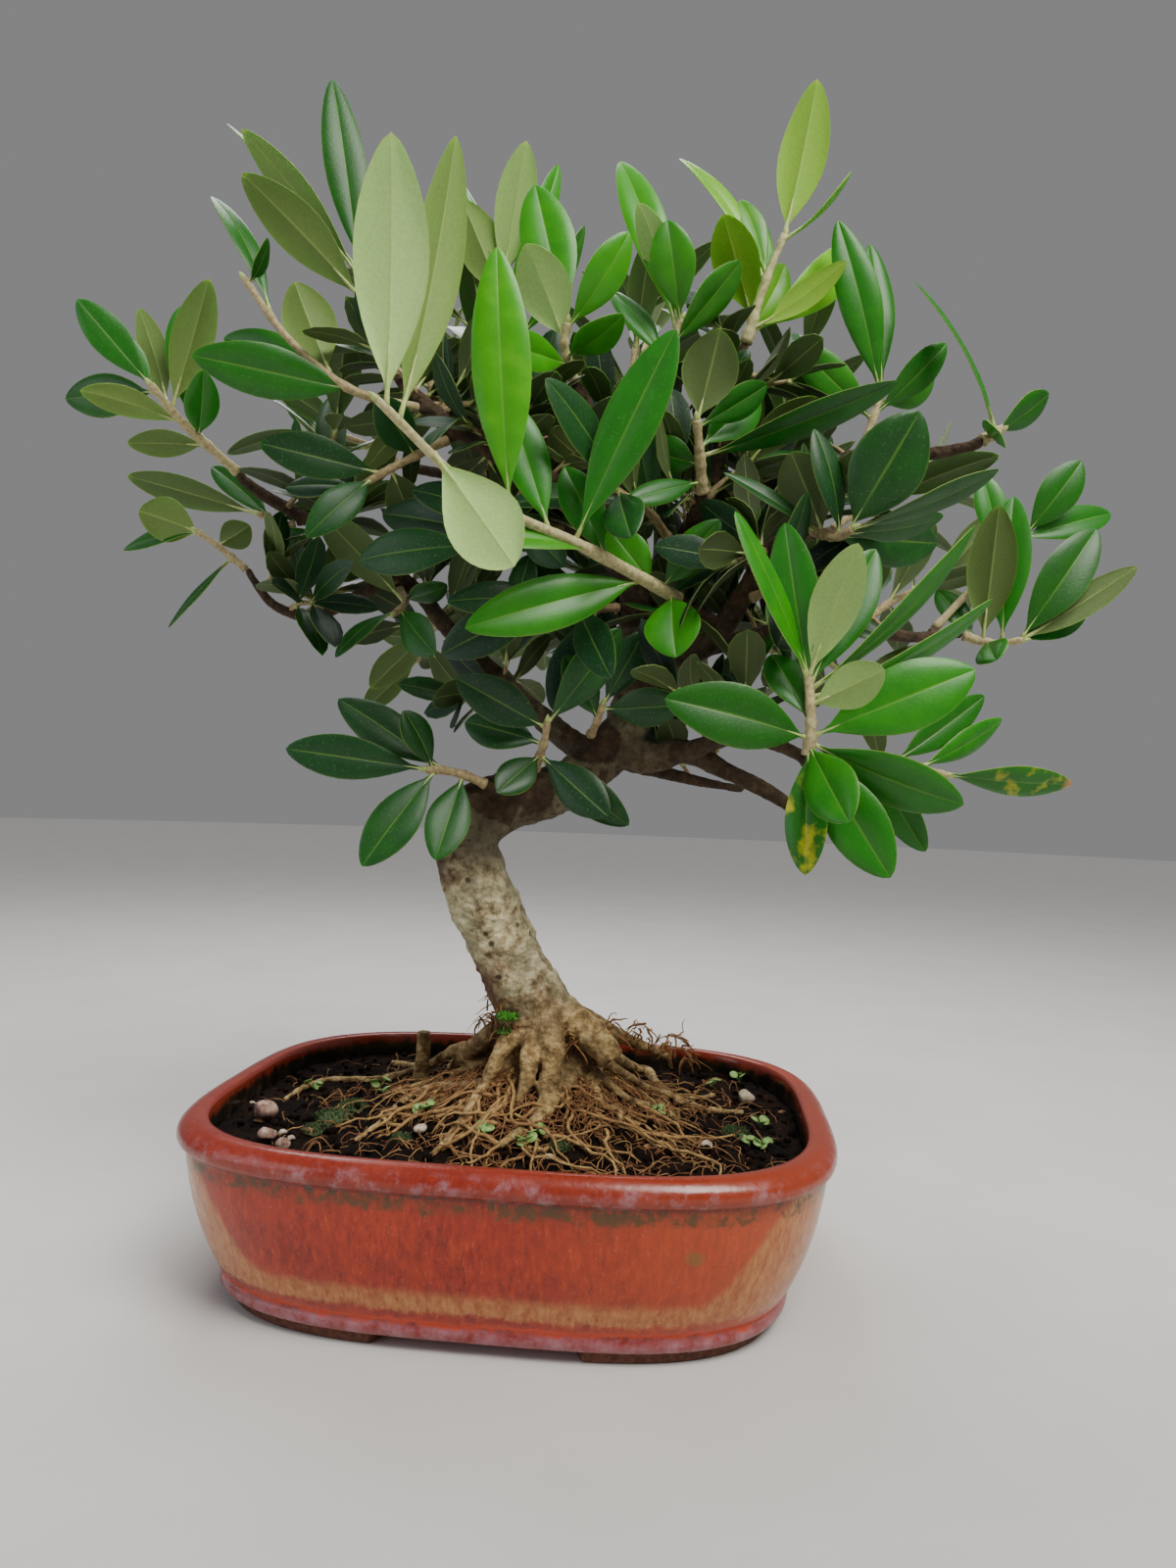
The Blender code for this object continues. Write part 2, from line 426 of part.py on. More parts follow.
def make_soil(collection, cutters, earth):
    inner = [(inset + 2 * SEAT_GAP, height) for inset, height in POT_PROFILE[:-4:-1]]
    inner[0] = (inner[0][0], inner[0][1] + SEAT_GAP)
    edge = (10.4, SOIL_EDGE)

    def body(level, turn):
        if level < len(inner):
            inset, height = inner[level]
            return (*superellipse(inset, turn), height)
        share = 1 - (level - len(inner)) / SOIL_RINGS
        x, y = superellipse(edge[0], turn)
        x = TRUNK_FOOT[0] + (x - TRUNK_FOOT[0]) * share
        y = TRUNK_FOOT[1] + (y - TRUNK_FOOT[1]) * share
        return x, y, soil_height(x, y)

    soil = object_from(swept(POT_SIDES, len(inner) + SOIL_RINGS, body), "soil", collection, earth)
    pocket = rod_cutter("trunk_pocket", POCKET_RADIUS, POCKET_FLOOR - SEAT_GAP, 90, TRUNK_FOOT, cutters)
    boolean(soil, pocket, "DIFFERENCE")
    settle_modifiers(soil)
    return soil


def view_axes():
    """The viewer's right, up and forward directions."""
    forward = Vector((-math.sin(VIEW_TURN) * math.cos(VIEW_RISE), math.cos(VIEW_TURN) * math.cos(VIEW_RISE),
                      math.sin(VIEW_RISE)))
    level = Vector((math.cos(VIEW_TURN), math.sin(VIEW_TURN), 0))
    upright = level.cross(forward)
    right = level * math.cos(VIEW_TILT) + upright * math.sin(VIEW_TILT)
    up = upright * math.cos(VIEW_TILT) - level * math.sin(VIEW_TILT)
    return right, up, forward


RIGHT, UP, FORWARD = view_axes()


def drawn(right, up, back):
    """The place of a point of the front elevation."""
    spread = 1 + back / VIEW_DISTANCE
    return EYE + (FORWARD * VIEW_DISTANCE + RIGHT * right + UP * up) * spread


def smooth_path(points, count):
    """count points along a smooth curve through points, evenly spaced, as Catmull and Rom's spline."""
    ends = [points[0] * 2 - points[1], *points, points[-1] * 2 - points[-2]]
    fine = []
    for i in range(len(points) - 1):
        a, b, c, d = ends[i : i + 4]
        for k in range(8):
            t = k / 8
            fine.append(0.5 * ((b * 2) + (c - a) * t + (a * 2 - b * 5 + c * 4 - d) * t**2
                               + (b * 3 - a - c * 3 + d) * t**3))
    fine.append(points[-1])
    lengths = [0.0]
    for a, b in zip(fine, fine[1:]):
        lengths.append(lengths[-1] + (b - a).length)
    made = []
    k = 0
    for i in range(count):
        want = lengths[-1] * i / (count - 1)
        while k < len(fine) - 2 and lengths[k + 1] < want:
            k += 1
        share = (want - lengths[k]) / max(lengths[k + 1] - lengths[k], 1e-9)
        made.append(fine[k].lerp(fine[k + 1], min(share, 1.0)))
    return made


def ring_frames(path):
    """Two directions across the path at each of its points, carried along without twist."""
    frames = []
    side = Vector((1, 0, 0))
    for i, point in enumerate(path):
        along = (path[min(i + 1, len(path) - 1)] - path[max(i - 1, 0)]).normalized()
        if abs(along.dot(side)) > 0.9:
            side = Vector((0, 1, 0))
        side = (side - along * along.dot(side)).normalized()
        frames.append((side, along.cross(side)))
    return frames


def limb(path, radii, sides, knobbly=0.0):
    """A tube along the path, its radius read from radii by share of length, with knots where knobbly is over 0."""
    frames = ring_frames(path)

    def place(level, turn):
        share = level / (len(path) - 1) * (len(radii) - 1)
        k = min(int(share), len(radii) - 2)
        radius = radii[k] + (radii[k + 1] - radii[k]) * (share - k)
        radius *= 1 + knobbly * math.sin(3 * turn + 1.7 * level) * math.sin(1.3 * level + 0.4)
        a, b = frames[level]
        return path[level] + (a * math.cos(turn) + b * math.sin(turn)) * radius

    return swept(sides, len(path), place)


def drawn_limb(rows, count, foot=()):
    """count points along drawn rows (right, up, back, radius), each with its radius."""
    points = [*foot, *(Vector((*drawn(*row[:3]), row[3])) for row in rows)]
    path = smooth_path(points, count)
    return [p.to_3d() for p in path], [p.w for p in path]


def trunk_limb(count):
    """The trunk's drawn curve, carried down to stand upright in its pocket."""
    foot = [Vector((*TRUNK_FOOT, POCKET_FLOOR, FOOT_RADIUS)), Vector((*TRUNK_FOOT, POCKET_FLOOR + 9, FOOT_RADIUS))]
    path, radii = drawn_limb(TRUNK, count, foot)
    path[1].xy = TRUNK_FOOT
    return path, radii


def ground(soil_tree, x, y):
    """The height of the modelled soil under a point."""
    hit = soil_tree.ray_cast(metres((x, y, 100)), Vector((0, 0, -1)))[0]
    return hit.z / MM if hit else 0.0


def drawn_root(points):
    """A surface root's path: from the trunk, or from another root, along the soil under its drawn points."""
    made = []
    for right, up, *back in points:
        if back:
            made.append(drawn(right, up, back[0]))
        else:
            sight = (drawn(right, up, back_mm) for back_mm in range(-90, 100))
            met = next((p for p in sight if p.z < soil_height(p.x, p.y)), None)
            if met and inside_pot(met):
                made.append(met)
    return made


def inside_pot(point):
    """Whether a root's point is clear of the pot's wall."""
    x = abs(point.x) / (RIM_HALF_LENGTH - ROOT_MARGIN)
    y = abs(point.y) / (RIM_HALF_WIDTH - ROOT_MARGIN)
    return x**SQUARENESS + y**SQUARENESS < 1


def back_root(bearing, reach):
    """A surface root out of the back of the trunk's foot, down the mound and along the soil."""
    heading = math.radians(bearing)
    made = []
    for share in (0.0, 0.25, 0.5, 0.75, 1.0):
        away = 6 + reach * share
        angle = heading + 0.16 * math.sin(5.0 * share + bearing)
        x = TRUNK_FOOT[0] + away * math.cos(angle)
        y = TRUNK_FOOT[1] + away * math.sin(angle)
        made.append(Vector((x, y, soil_height(x, y))))
    return made


def laid_root(points, thick, thin, soil_tree):
    """The root as a tube, lifted until it is clear of the soil, with its first point inside the wood."""
    path = smooth_path(points, ROOT_POINTS)
    radii = [thick, (2 * thick + thin) / 3, (thick + 2 * thin) / 3, thin]
    for i, point in enumerate(path):
        size = thick + (thin - thick) * i / (ROOT_POINTS - 1)
        point.z = max(point.z, ground(soil_tree, point.x, point.y) + size + 0.5)
    while bvh(limb(path, [r + 0.3 for r in radii], ROOT_SIDES)).overlap(soil_tree):
        path = [p + Vector((0, 0, 0.3)) for p in path]
    return limb(path, radii, ROOT_SIDES)


def nearest_wood(point, limbs):
    """The nearest point of the boughs to a shoot's start, and its radius there."""
    best = min(((point - p).length, i, j) for i, (path, _) in enumerate(limbs) for j, p in enumerate(path))
    path, radii = limbs[best[1]]
    share = best[2] / (len(path) - 1) * (len(radii) - 1)
    k = min(int(share), len(radii) - 2)
    return path[best[2]], radii[k] + (radii[k + 1] - radii[k]) * (share - k)


def spur_path(start, heading, limbs):
    """The short side twig that carries a shoot: from the nearest bough to the shoot's start, square to its end."""
    root, size = nearest_wood(start, limbs)
    knee = start - heading * min(3.0, (start - root).length * 0.45)
    return [root, knee, start], size


def shoot_plans():
    """Each shoot as (name, stem points, thick radius, thin radius, leaves), drawn ones first."""
    plans = []
    for name, (rows, thick, thin, leaves) in SHOOTS.items():
        plans.append((name, [drawn(*row) for row in rows], thick, thin, leaves))
    for i, (start, end, pairs, length, width) in enumerate(FILLERS):
        a, b = drawn(*start), drawn(*end)
        middle = a.lerp(b, 0.5) + Vector((0, 0, 3.0))
        plans.append((f"filler_{i + 1:02d}", [a, middle, b], 1.6, 1.0, (pairs, length, width)))
    return plans


def stem_tries(points):
    """A stem's path as drawn, then slid along the sight line, each time also started further out on its spur."""
    for slide in SLIDES:
        moved = [points[0]]
        for i, point in enumerate(points[1:]):
            share = (i + 1) / (len(points) - 1)
            moved.append(EYE + (point - EYE) * (1 + slide * share / VIEW_DISTANCE))
        reach = (moved[1] - moved[0]).length
        for push in (0, 2, 4, 6, 8):
            if push < reach - 2:
                yield smooth_path([moved[0].lerp(moved[1], push / reach), *moved[1:]], STEM_POINTS)


def blade_width(share, width, belly):
    """Half the blade's width at a share of its length."""
    if share <= STALK_SHARE:
        return STALK_HALF_WIDTH
    run = (share - STALK_SHARE) / (1 - STALK_SHARE)
    return max(STALK_HALF_WIDTH * (1 - run), width / 2 * math.sin(math.pi * run**belly) ** 0.8)


def leaf_blade(leaf, levels=LEAF_LEVELS, grow=0.0):
    """A thin solid leaf from (base, tip, normal, width, belly, sag), swollen all round by grow."""
    base, tip, normal, width, belly, sag = leaf
    chord = tip - base
    last = len(levels) - 1

    def place(level, turn):
        share = levels[level]
        centre = base + chord * share + normal * (sag * 4 * share * (1 - share))
        along = (chord + normal * (sag * 4 * (1 - 2 * share))).normalized()
        if level == last:
            return centre + along * grow
        top = (normal - along * normal.dot(along)).normalized()
        side = along.cross(top)
        half = blade_width(share, width, belly) + grow
        corner = round(turn / math.tau * 3) % 3
        if corner == 2:
            return centre - top * (LEAF_THICKNESS / 2 + grow)
        return centre + side * (half if corner else -half) + top * (LEAF_THICKNESS / 2 + grow)

    return swept(3, len(levels), place)


def upper_face(chord, towards):
    """The direction square to the chord that is nearest to towards."""
    flat = towards - chord * (towards.dot(chord) / chord.length_squared)
    return flat.normalized()


def drawn_leaf_tries(name, index, row, path):
    """A drawn leaf as (base, tip, normal, width, belly, sag), first as drawn and then slid along the sight line."""
    at, right, up, back, width, turn = row
    draw = random.Random(f"{name} leaf {index}")
    belly = draw.uniform(0.98, 1.22)
    bow = draw.uniform(0.02, 0.09)
    base = point_along(path, clear_of_joint(at, path))
    for slide in SLIDES:
        tip = drawn(right, up, back + slide)
        chord = tip - base
        normal = upper_face(chord, EYE - base)
        normal = Matrix.Rotation(math.radians(turn), 3, chord) @ normal
        yield base, tip, normal, width, belly, bow * chord.length


def filler_leaf_tries(name, index, plan, path):
    """A leaf set by the olive's rule: opposite pairs, each pair a quarter turn on from the last."""
    pairs, length, width = plan
    pair, hand = divmod(index, 2)
    at = 0.30 + 0.68 * pair / max(pairs - 1, 1)
    base = point_along(path, at)
    heading = (point_along(path, min(at + 0.05, 1.0)) - point_along(path, at - 0.1)).normalized()
    across = upper_face(heading, Vector((0.3, 0.2, 1)))
    draw = random.Random(f"{name} leaf {index}")
    size = draw.uniform(0.82, 1.15)
    belly = draw.uniform(0.95, 1.25)
    bow = draw.uniform(0.02, 0.10)
    for attempt in range(FILL_TRIES):
        roll = math.pi * hand + math.pi / 2 * pair + 0.35 + draw.uniform(-0.25, 0.25) * (1 + attempt * 0.45)
        lean = math.radians(48 - 12 * pair / max(pairs - 1, 1) + draw.uniform(-12, 12) * (1 + attempt * 0.2))
        outward = Matrix.Rotation(roll, 3, heading) @ across
        way = heading * math.cos(lean) + outward * math.sin(lean)
        reach = length * size * (1 - 0.03 * attempt)
        tip = base + way * reach
        normal = upper_face(tip - base, heading + Vector((0, 0, 0.6)))
        yield base, tip, normal, width * size, belly, bow * reach


def clear_of_joint(at, path):
    """A leaf's place on its stem, kept off the stem's lower end, which butts on the wood."""
    return max(at, LOWEST_LEAF / sum((b - a).length for a, b in zip(path, path[1:])))


def point_along(path, share):
    place = max(0.0, min(share, 1.0)) * (len(path) - 1)
    k = min(int(place), len(path) - 2)
    return path[k].lerp(path[k + 1], place - k)


def bvh(bm):
    made = BVHTree.FromBMesh(bm)
    bm.free()
    return made


def touches(tree, others):
    return any(tree.overlap(other) for other in others)


def past_end(path):
    """The path made a little longer, so that a stem keeps off a limb's end too."""
    return [*path[:-1], path[-1] + (path[-1] - path[-2]).normalized() * 1.5]


def plan_tree():
    """Lays out the boughs, then each stem and each leaf in a place where it is clear of all that came before.

    It returns the boughs, the spurs and, for each shoot, its stem and leaves.
    """
    boughs = [(*trunk_limb(TRUNK_RINGS), TRUNK_SIDES, 0.035)]
    boughs += [(*drawn_limb(rows, len(rows)), BOUGH_SIDES, 0.0) for rows in BOUGHS.values()]
    solid = [bvh(limb(past_end(path), [r + 0.3 for r in radii], sides)) for path, radii, sides, _ in boughs]
    limbs = [(smooth_path(path, 3 * len(path)), radii) for path, radii, _, _ in boughs]
    spurs = []
    shoots = {}
    for name, points, thick, thin, leaves in shoot_plans():
        for stem in stem_tries(points):
            radii = [thick, (thick + thin) / 2, thin]
            tested = bvh(limb(stem, [r + 0.4 for r in radii], STEM_SIDES))
            heading = (stem[1] - stem[0]).normalized()
            path, size = spur_path(stem[0] - heading * STEM_GAP, heading, limbs)
            spur_radii = [min(thick * 1.4, size), thick * 1.1, thick * 1.05]
            spur_tested = bvh(limb(path, [r + 0.4 for r in spur_radii], SPUR_SIDES))
            stems = [shoot["tested"][0] for shoot in shoots.values()]
            if not touches(tested, solid + stems) and not touches(spur_tested, stems):
                break
        else:
            print("stem in the way:", name)
        spurs.append((path, spur_radii))
        shoots[name] = {"stem": stem, "radii": radii, "rows": leaves, "leaves": [], "tested": [tested]}
        solid.append(spur_tested)
    for i, (name, shoot) in enumerate(shoots.items()):
        own = bvh(limb(*spurs[i], SPUR_SIDES))
        wood = [tree for k, tree in enumerate(solid) if k != len(boughs) + i]
        leaves = [tree for key, other in shoots.items() if key != name for tree in other["tested"]]
        lay_leaves(name, shoot, wood + leaves, own)
    return boughs, spurs, shoots


def lay_leaves(name, shoot, taken, own_spur):
    """Finds a clear place for each leaf of one shoot, or leaves it out."""
    is_drawn = isinstance(shoot["rows"], list)
    mine = []
    for index in range(len(shoot["rows"]) if is_drawn else 2 * shoot["rows"][0]):
        if is_drawn:
            tries = drawn_leaf_tries(name, index, shoot["rows"][index], shoot["stem"])
        else:
            tries = filler_leaf_tries(name, index, shoot["rows"], shoot["stem"])
        for leaf in tries:
            base, tip, *rest = leaf
            whole = bvh(leaf_blade(leaf, TEST_LEVELS, LEAF_CLEARANCE))
            near_fit = bvh(leaf_blade(leaf, TEST_LEVELS, 0.1))
            beyond_stalk = bvh(leaf_blade((base.lerp(tip, 0.16), tip, *rest), TEST_LEVELS, 0.2))
            if not touches(whole, taken) and not near_fit.overlap(own_spur) and not touches(beyond_stalk, mine):
                mine.append(beyond_stalk)
                shoot["tested"].append(whole)
                shoot["leaves"].append(leaf)
                break
        else:
            print("no room for", name, index)


def make_tree(collection, bark, leaf_green, soil):
    """The wood as one solid, then each leafy shoot as one solid that butts on its spur."""
    boughs, spurs, shoots = plan_tree()
    shapes = [limb(path, radii, sides, knobbly) for path, radii, sides, knobbly in boughs]
    shapes += [limb(path, radii, SPUR_SIDES) for path, radii in spurs]
    soil_tree = BVHTree.FromObject(soil, bpy.context.evaluated_depsgraph_get())
    shapes += [laid_root(drawn_root(points), thick, thin, soil_tree) for thick, thin, points in ROOTS]
    shapes += [laid_root(back_root(bearing, reach), size, size / 2, soil_tree) for bearing, reach, size in BACK_ROOTS]
    shapes.append(limb(*drawn_limb(ROOT_STUMP, ROOT_POINTS), ROOT_SIDES))
    fuse("trunk_and_roots", shapes, collection, bark)
    for name, shoot in shoots.items():
        shapes = [limb(shoot["stem"], shoot["radii"], STEM_SIDES)]
        shapes += [leaf_blade(leaf) for leaf in shoot["leaves"]]
        fuse("shoot_" + name, shapes, collection, leaf_green)
    print(sum(len(shoot["leaves"]) for shoot in shoots.values()), "leaves on", len(shoots), "shoots")


def make_pebbles(collection, stone):
    for i, (x, y, size) in enumerate(PEBBLES):
        bm = bmesh.new()
        bmesh.ops.create_icosphere(bm, subdivisions=1, radius=size / 2 * MM)
        draw = random.Random(f"pebble {i}")
        for v in bm.verts:
            v.co *= draw.uniform(0.85, 1.1)
            v.co.z *= 0.7
        lowest = min(v.co.z for v in bm.verts)
        highest_soil = max(soil_height(x + dx, y + dy) for dx in (-3, 0, 3) for dy in (-3, 0, 3))
        rest = metres((x, y, highest_soil + 0.4)) - Vector((0, 0, lowest))
        bmesh.ops.translate(bm, vec=rest, verts=bm.verts)
        object_from(bm, f"pebble_{i + 1}", collection, stone)


def stand_on_origin(collection):
    """Slides the whole object so that the middle of its footprint box is the origin."""
    corners = [v.co for o in collection.objects for v in o.data.vertices]
    middle = Vector([(min(c[i] for c in corners) + max(c[i] for c in corners)) / 2 for i in range(3)])
    slide = Vector((-middle.x, -middle.y, -min(c.z for c in corners)))
    for o in collection.objects:
        o.location = slide


def main():
    for old in list(bpy.data.objects):
        bpy.data.objects.remove(old, do_unlink=True)
    bonsai = new_collection("olive_bonsai")
    cutters = new_collection("cutters")
    cutters.hide_render = True
    glaze = finish("red_glaze", (0.36, 0.05, 0.02), 0.2)
    earth = finish("potting_soil", (0.03, 0.02, 0.012), 0.95)
    bark = finish("olive_bark", (0.30, 0.22, 0.13), 0.85)
    green = finish("olive_leaf", (0.06, 0.20, 0.03), 0.4)
    stone = finish("pebble_stone", (0.6, 0.48, 0.4), 0.8)
    make_pot(bonsai, cutters, glaze)
    soil = make_soil(bonsai, cutters, earth)
    make_tree(bonsai, bark, green, soil)
    make_pebbles(bonsai, stone)
    stand_on_origin(bonsai)


main()
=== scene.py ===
# %% [markdown]
# # An olive bonsai in a red glazed pot
# This lesson dresses the plain solids of a small olive tree for a picture. The tree is about 40 cm high with
# its pot. It has a thick bent trunk, a crown of narrow leaves and a mound of bare roots on dark potting soil.
# The solids fix every size and place. Each step below makes one piece of the real thing finer, and gives it
# the finish that the eye expects of it.

# %% Load the solids
import math
import random

import bmesh
import bpy
from mathutils import Matrix, Vector, kdtree, noise
from mathutils.bvhtree import BVHTree


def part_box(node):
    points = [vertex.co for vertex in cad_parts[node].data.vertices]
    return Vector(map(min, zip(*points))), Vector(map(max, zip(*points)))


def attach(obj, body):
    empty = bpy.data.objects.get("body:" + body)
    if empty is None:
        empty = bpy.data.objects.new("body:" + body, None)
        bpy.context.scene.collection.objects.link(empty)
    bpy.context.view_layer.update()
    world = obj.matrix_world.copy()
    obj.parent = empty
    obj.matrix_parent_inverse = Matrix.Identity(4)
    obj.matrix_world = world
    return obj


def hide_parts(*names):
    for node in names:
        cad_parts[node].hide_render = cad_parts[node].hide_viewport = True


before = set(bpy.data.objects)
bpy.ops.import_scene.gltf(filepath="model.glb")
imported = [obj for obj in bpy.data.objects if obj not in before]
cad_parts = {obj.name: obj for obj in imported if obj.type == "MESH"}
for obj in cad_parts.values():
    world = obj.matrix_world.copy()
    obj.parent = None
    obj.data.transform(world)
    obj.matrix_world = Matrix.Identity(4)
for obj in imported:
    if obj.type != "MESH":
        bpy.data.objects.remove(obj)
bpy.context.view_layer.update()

# %% [markdown]
# ## Lengths and places
# Every length below is a real one in millimetres, measured from the middle of the pot on the table. The
# solids are in metres and have another origin, so each finished piece is scaled and slid at the end, once.
# The pot is the same on both sides of its middle, so the middle of its box gives the slide.

# %% Millimetres to the solids' own place
MM = 0.001

pot_low, pot_high = (Vector(corner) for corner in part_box("pot"))
POT_MIDDLE = Vector(((pot_low.x + pot_high.x) / 2, (pot_low.y + pot_high.y) / 2, pot_low.z))
print("the pot's middle is at", [round(value, 4) for value in POT_MIDDLE])


def metres(point):
    return Vector(point) * MM


# %% [markdown]
# ## Colour and nodes
# A colour is written as the hex value seen on a screen and turned into the linear light that a renderer adds
# up. A pattern is given by the real size of one of its marks, and Blender wants how many fit in a metre.
# One function adds every node, with its settings and what feeds it.

# %% Colour, pattern size and the node function
def linear(screen):
    """A hex colour such as 8A4B2C as linear red, green, blue and full opacity."""
    parts = [int(screen[i : i + 2], 16) / 255 for i in (0, 2, 4)]
    return (*[c / 12.92 if c <= 0.04045 else ((c + 0.055) / 1.055) ** 2.4 for c in parts], 1.0)


def marks(size):
    """How many marks of this size in millimetres fit in a metre."""
    return 1000.0 / size


def add(tree, kind, feeds=(), stops=(), **settings):
    """One shader node. feeds maps an input to a value, to a node (its first output) or to (node, output)."""
    made = tree.nodes.new("ShaderNode" + kind)
    for key, value in settings.items():
        setattr(made, key, value)
    for key, value in dict(feeds).items():
        if isinstance(value, bpy.types.Node):
            tree.links.new(value.outputs[0], made.inputs[key])
        elif isinstance(value, tuple) and isinstance(value[0], bpy.types.Node):
            tree.links.new(value[0].outputs[value[1]], made.inputs[key])
        else:
            made.inputs[key].default_value = value
    for i, (place, colour) in enumerate(stops):
        stop = made.color_ramp.elements[i] if i < 2 else made.color_ramp.elements.new(place)
        stop.position = place
        stop.color = colour
    return made


def finish(name, **values):
    """A new material: its node tree, and its Principled shader with these plain values set."""
    made = bpy.data.materials.new(name)
    made.use_nodes = True
    shader = made.node_tree.nodes["Principled BSDF"]
    for key, value in values.items():
        shader.inputs[key.replace("_", " ")].default_value = value
    return made, made.node_tree, shader


# %% [markdown]
# ## The viewer's place
# The tree was drawn in front elevation, as someone standing before it sees it from a hand's breadth above the
# rim. A drawn point is right, up and back on the upright plane through the trunk. The camera stands at the
# same eye, so what was drawn over something still covers it in the picture.

# %% The eye and the drawing plane
EYE = Vector((54.0, -367.0, 156.0))
VIEW_DISTANCE = 367.0
VIEW_TURN = math.radians(5.45)
VIEW_RISE = math.radians(0.6)
VIEW_TILT = math.radians(2.14)
LENS = 24.75


def view_axes():
    """The viewer's right, up and forward directions."""
    forward = Vector((-math.sin(VIEW_TURN) * math.cos(VIEW_RISE), math.cos(VIEW_TURN) * math.cos(VIEW_RISE),
                      math.sin(VIEW_RISE)))
    level = Vector((math.cos(VIEW_TURN), math.sin(VIEW_TURN), 0))
    upright = level.cross(forward)
    right = level * math.cos(VIEW_TILT) + upright * math.sin(VIEW_TILT)
    up = upright * math.cos(VIEW_TILT) - level * math.sin(VIEW_TILT)
    return right, up, forward


RIGHT, UP, FORWARD = view_axes()


def drawn(right, up, back):
    """The place of a point of the front elevation."""
    spread = 1 + back / VIEW_DISTANCE
    return EYE + (FORWARD * VIEW_DISTANCE + RIGHT * right + UP * up) * spread


# %% The camera
lens = bpy.data.cameras.new("viewer")
lens.sensor_fit = "VERTICAL"
lens.sensor_height = 36
lens.lens = LENS
lens.clip_start = 0.01
camera = bpy.data.objects.new("viewer", lens)
bpy.context.scene.collection.objects.link(camera)
camera.matrix_world = Matrix.Translation(metres(EYE) + POT_MIDDLE) @ Matrix((RIGHT, UP, -FORWARD)).transposed().to_4x4()
bpy.context.scene.camera = camera
print("camera", round(math.degrees(2 * math.atan(18 / LENS)), 1), "degrees high")

# %% [markdown]
# ## Floor and light
# The plant stands on a plain pale floor. A window's light is copied with broad soft lamps: a large one high at
# the front right, a weaker one low on the left, and one behind and above that edges the top leaves. A lamp's
# light falls off with distance, so a weak even daylight joins them, and the far floor stays as pale.

# %% Floor
bm = bmesh.new()
bmesh.ops.create_circle(bm, cap_ends=True, segments=96, radius=4.0)
floor_mesh = bpy.data.meshes.new("floor")
bm.to_mesh(floor_mesh)
bm.free()
floor = bpy.data.objects.new("floor", floor_mesh)
bpy.context.scene.collection.objects.link(floor)
paper, tree, shader = finish("pale_floor_paper", Roughness=0.75)
grain = add(tree, "TexNoise", {"Vector": (add(tree, "TexCoord"), "Object"), "Scale": marks(60), "Detail": 4})
tone = add(tree, "ValToRGB", {"Fac": grain}, stops=[(0.3, linear("C9C7C4")), (0.7, linear("CFCDCA"))])
tree.links.new(tone.outputs[0], shader.inputs["Base Color"])
floor_mesh.materials.append(paper)

# %% Lamps and surroundings
# A lamp: name, place in millimetres, its size, power in watts, colour.
LAMPS = [
    ("window", (420, -430, 880), 480, 9.5, "FFFCF4"),
    ("room", (-720, -560, 380), 620, 2.2, "F2F6FF"),
    ("sky", (-160, 420, 900), 560, 7.0, "FFFFFF"),
]
for name, place, size, power, colour in LAMPS:
    lamp = bpy.data.lights.new(name, "AREA")
    lamp.size = size * MM
    lamp.energy = power
    lamp.color = linear(colour)[:3]
    holder = bpy.data.objects.new(name, lamp)
    bpy.context.scene.collection.objects.link(holder)
    aim = Vector((0, 0, 180)) - Vector(place)
    holder.matrix_world = Matrix.Translation(metres(place) + POT_MIDDLE) @ aim.to_track_quat("-Z", "Y").to_matrix().to_4x4()

daylight = bpy.data.lights.new("daylight", "SUN")
daylight.energy = 0.9
daylight.angle = math.radians(32)
holder = bpy.data.objects.new("daylight", daylight)
bpy.context.scene.collection.objects.link(holder)
holder.matrix_world = Vector((-0.35, 0.45, -1)).to_track_quat("-Z", "Y").to_matrix().to_4x4()

world = bpy.data.worlds.new("surroundings")
world.use_nodes = True
world.node_tree.nodes["Background"].inputs["Color"].default_value = linear("C4C4C6")
world.node_tree.nodes["Background"].inputs["Strength"].default_value = 0.42
bpy.context.scene.world = world
print(len(LAMPS) + 1, "lamps")

# %% [markdown]
# ## Tubes along curves
# Trunk, twigs, roots and stalks are all tubes whose thickness changes along a curved line. Each starts as a
# plain cylinder, whose walls are cut into levels, and each level is then carried to its place on the curve.
# The curve is a spline that passes through every drawn point, so a few points give a natural bend.

# %% Swept shapes
def swept(sides, levels, place):
    """A closed tube: a cylinder whose walls are cut into levels, each point put by place(level, turn)."""
    bm = bmesh.new()
    bmesh.ops.create_cone(bm, cap_ends=True, segments=sides, radius1=1, radius2=1, depth=1)
    walls = [e for e in bm.edges if abs(e.verts[0].co.z - e.verts[1].co.z) > 0.5]
    if levels > 2:
        bmesh.ops.subdivide_edges(bm, edges=walls, cuts=levels - 2, use_grid_fill=True)
    for v in bm.verts:
        level = round((v.co.z + 0.5) * (levels - 1))
        turn = round(math.atan2(v.co.y, v.co.x) / math.tau * sides) * math.tau / sides
        v.co = metres(place(level, turn))
    bmesh.ops.remove_doubles(bm, verts=bm.verts, dist=1e-6)
    bmesh.ops.recalc_face_normals(bm, faces=bm.faces)
    return bm


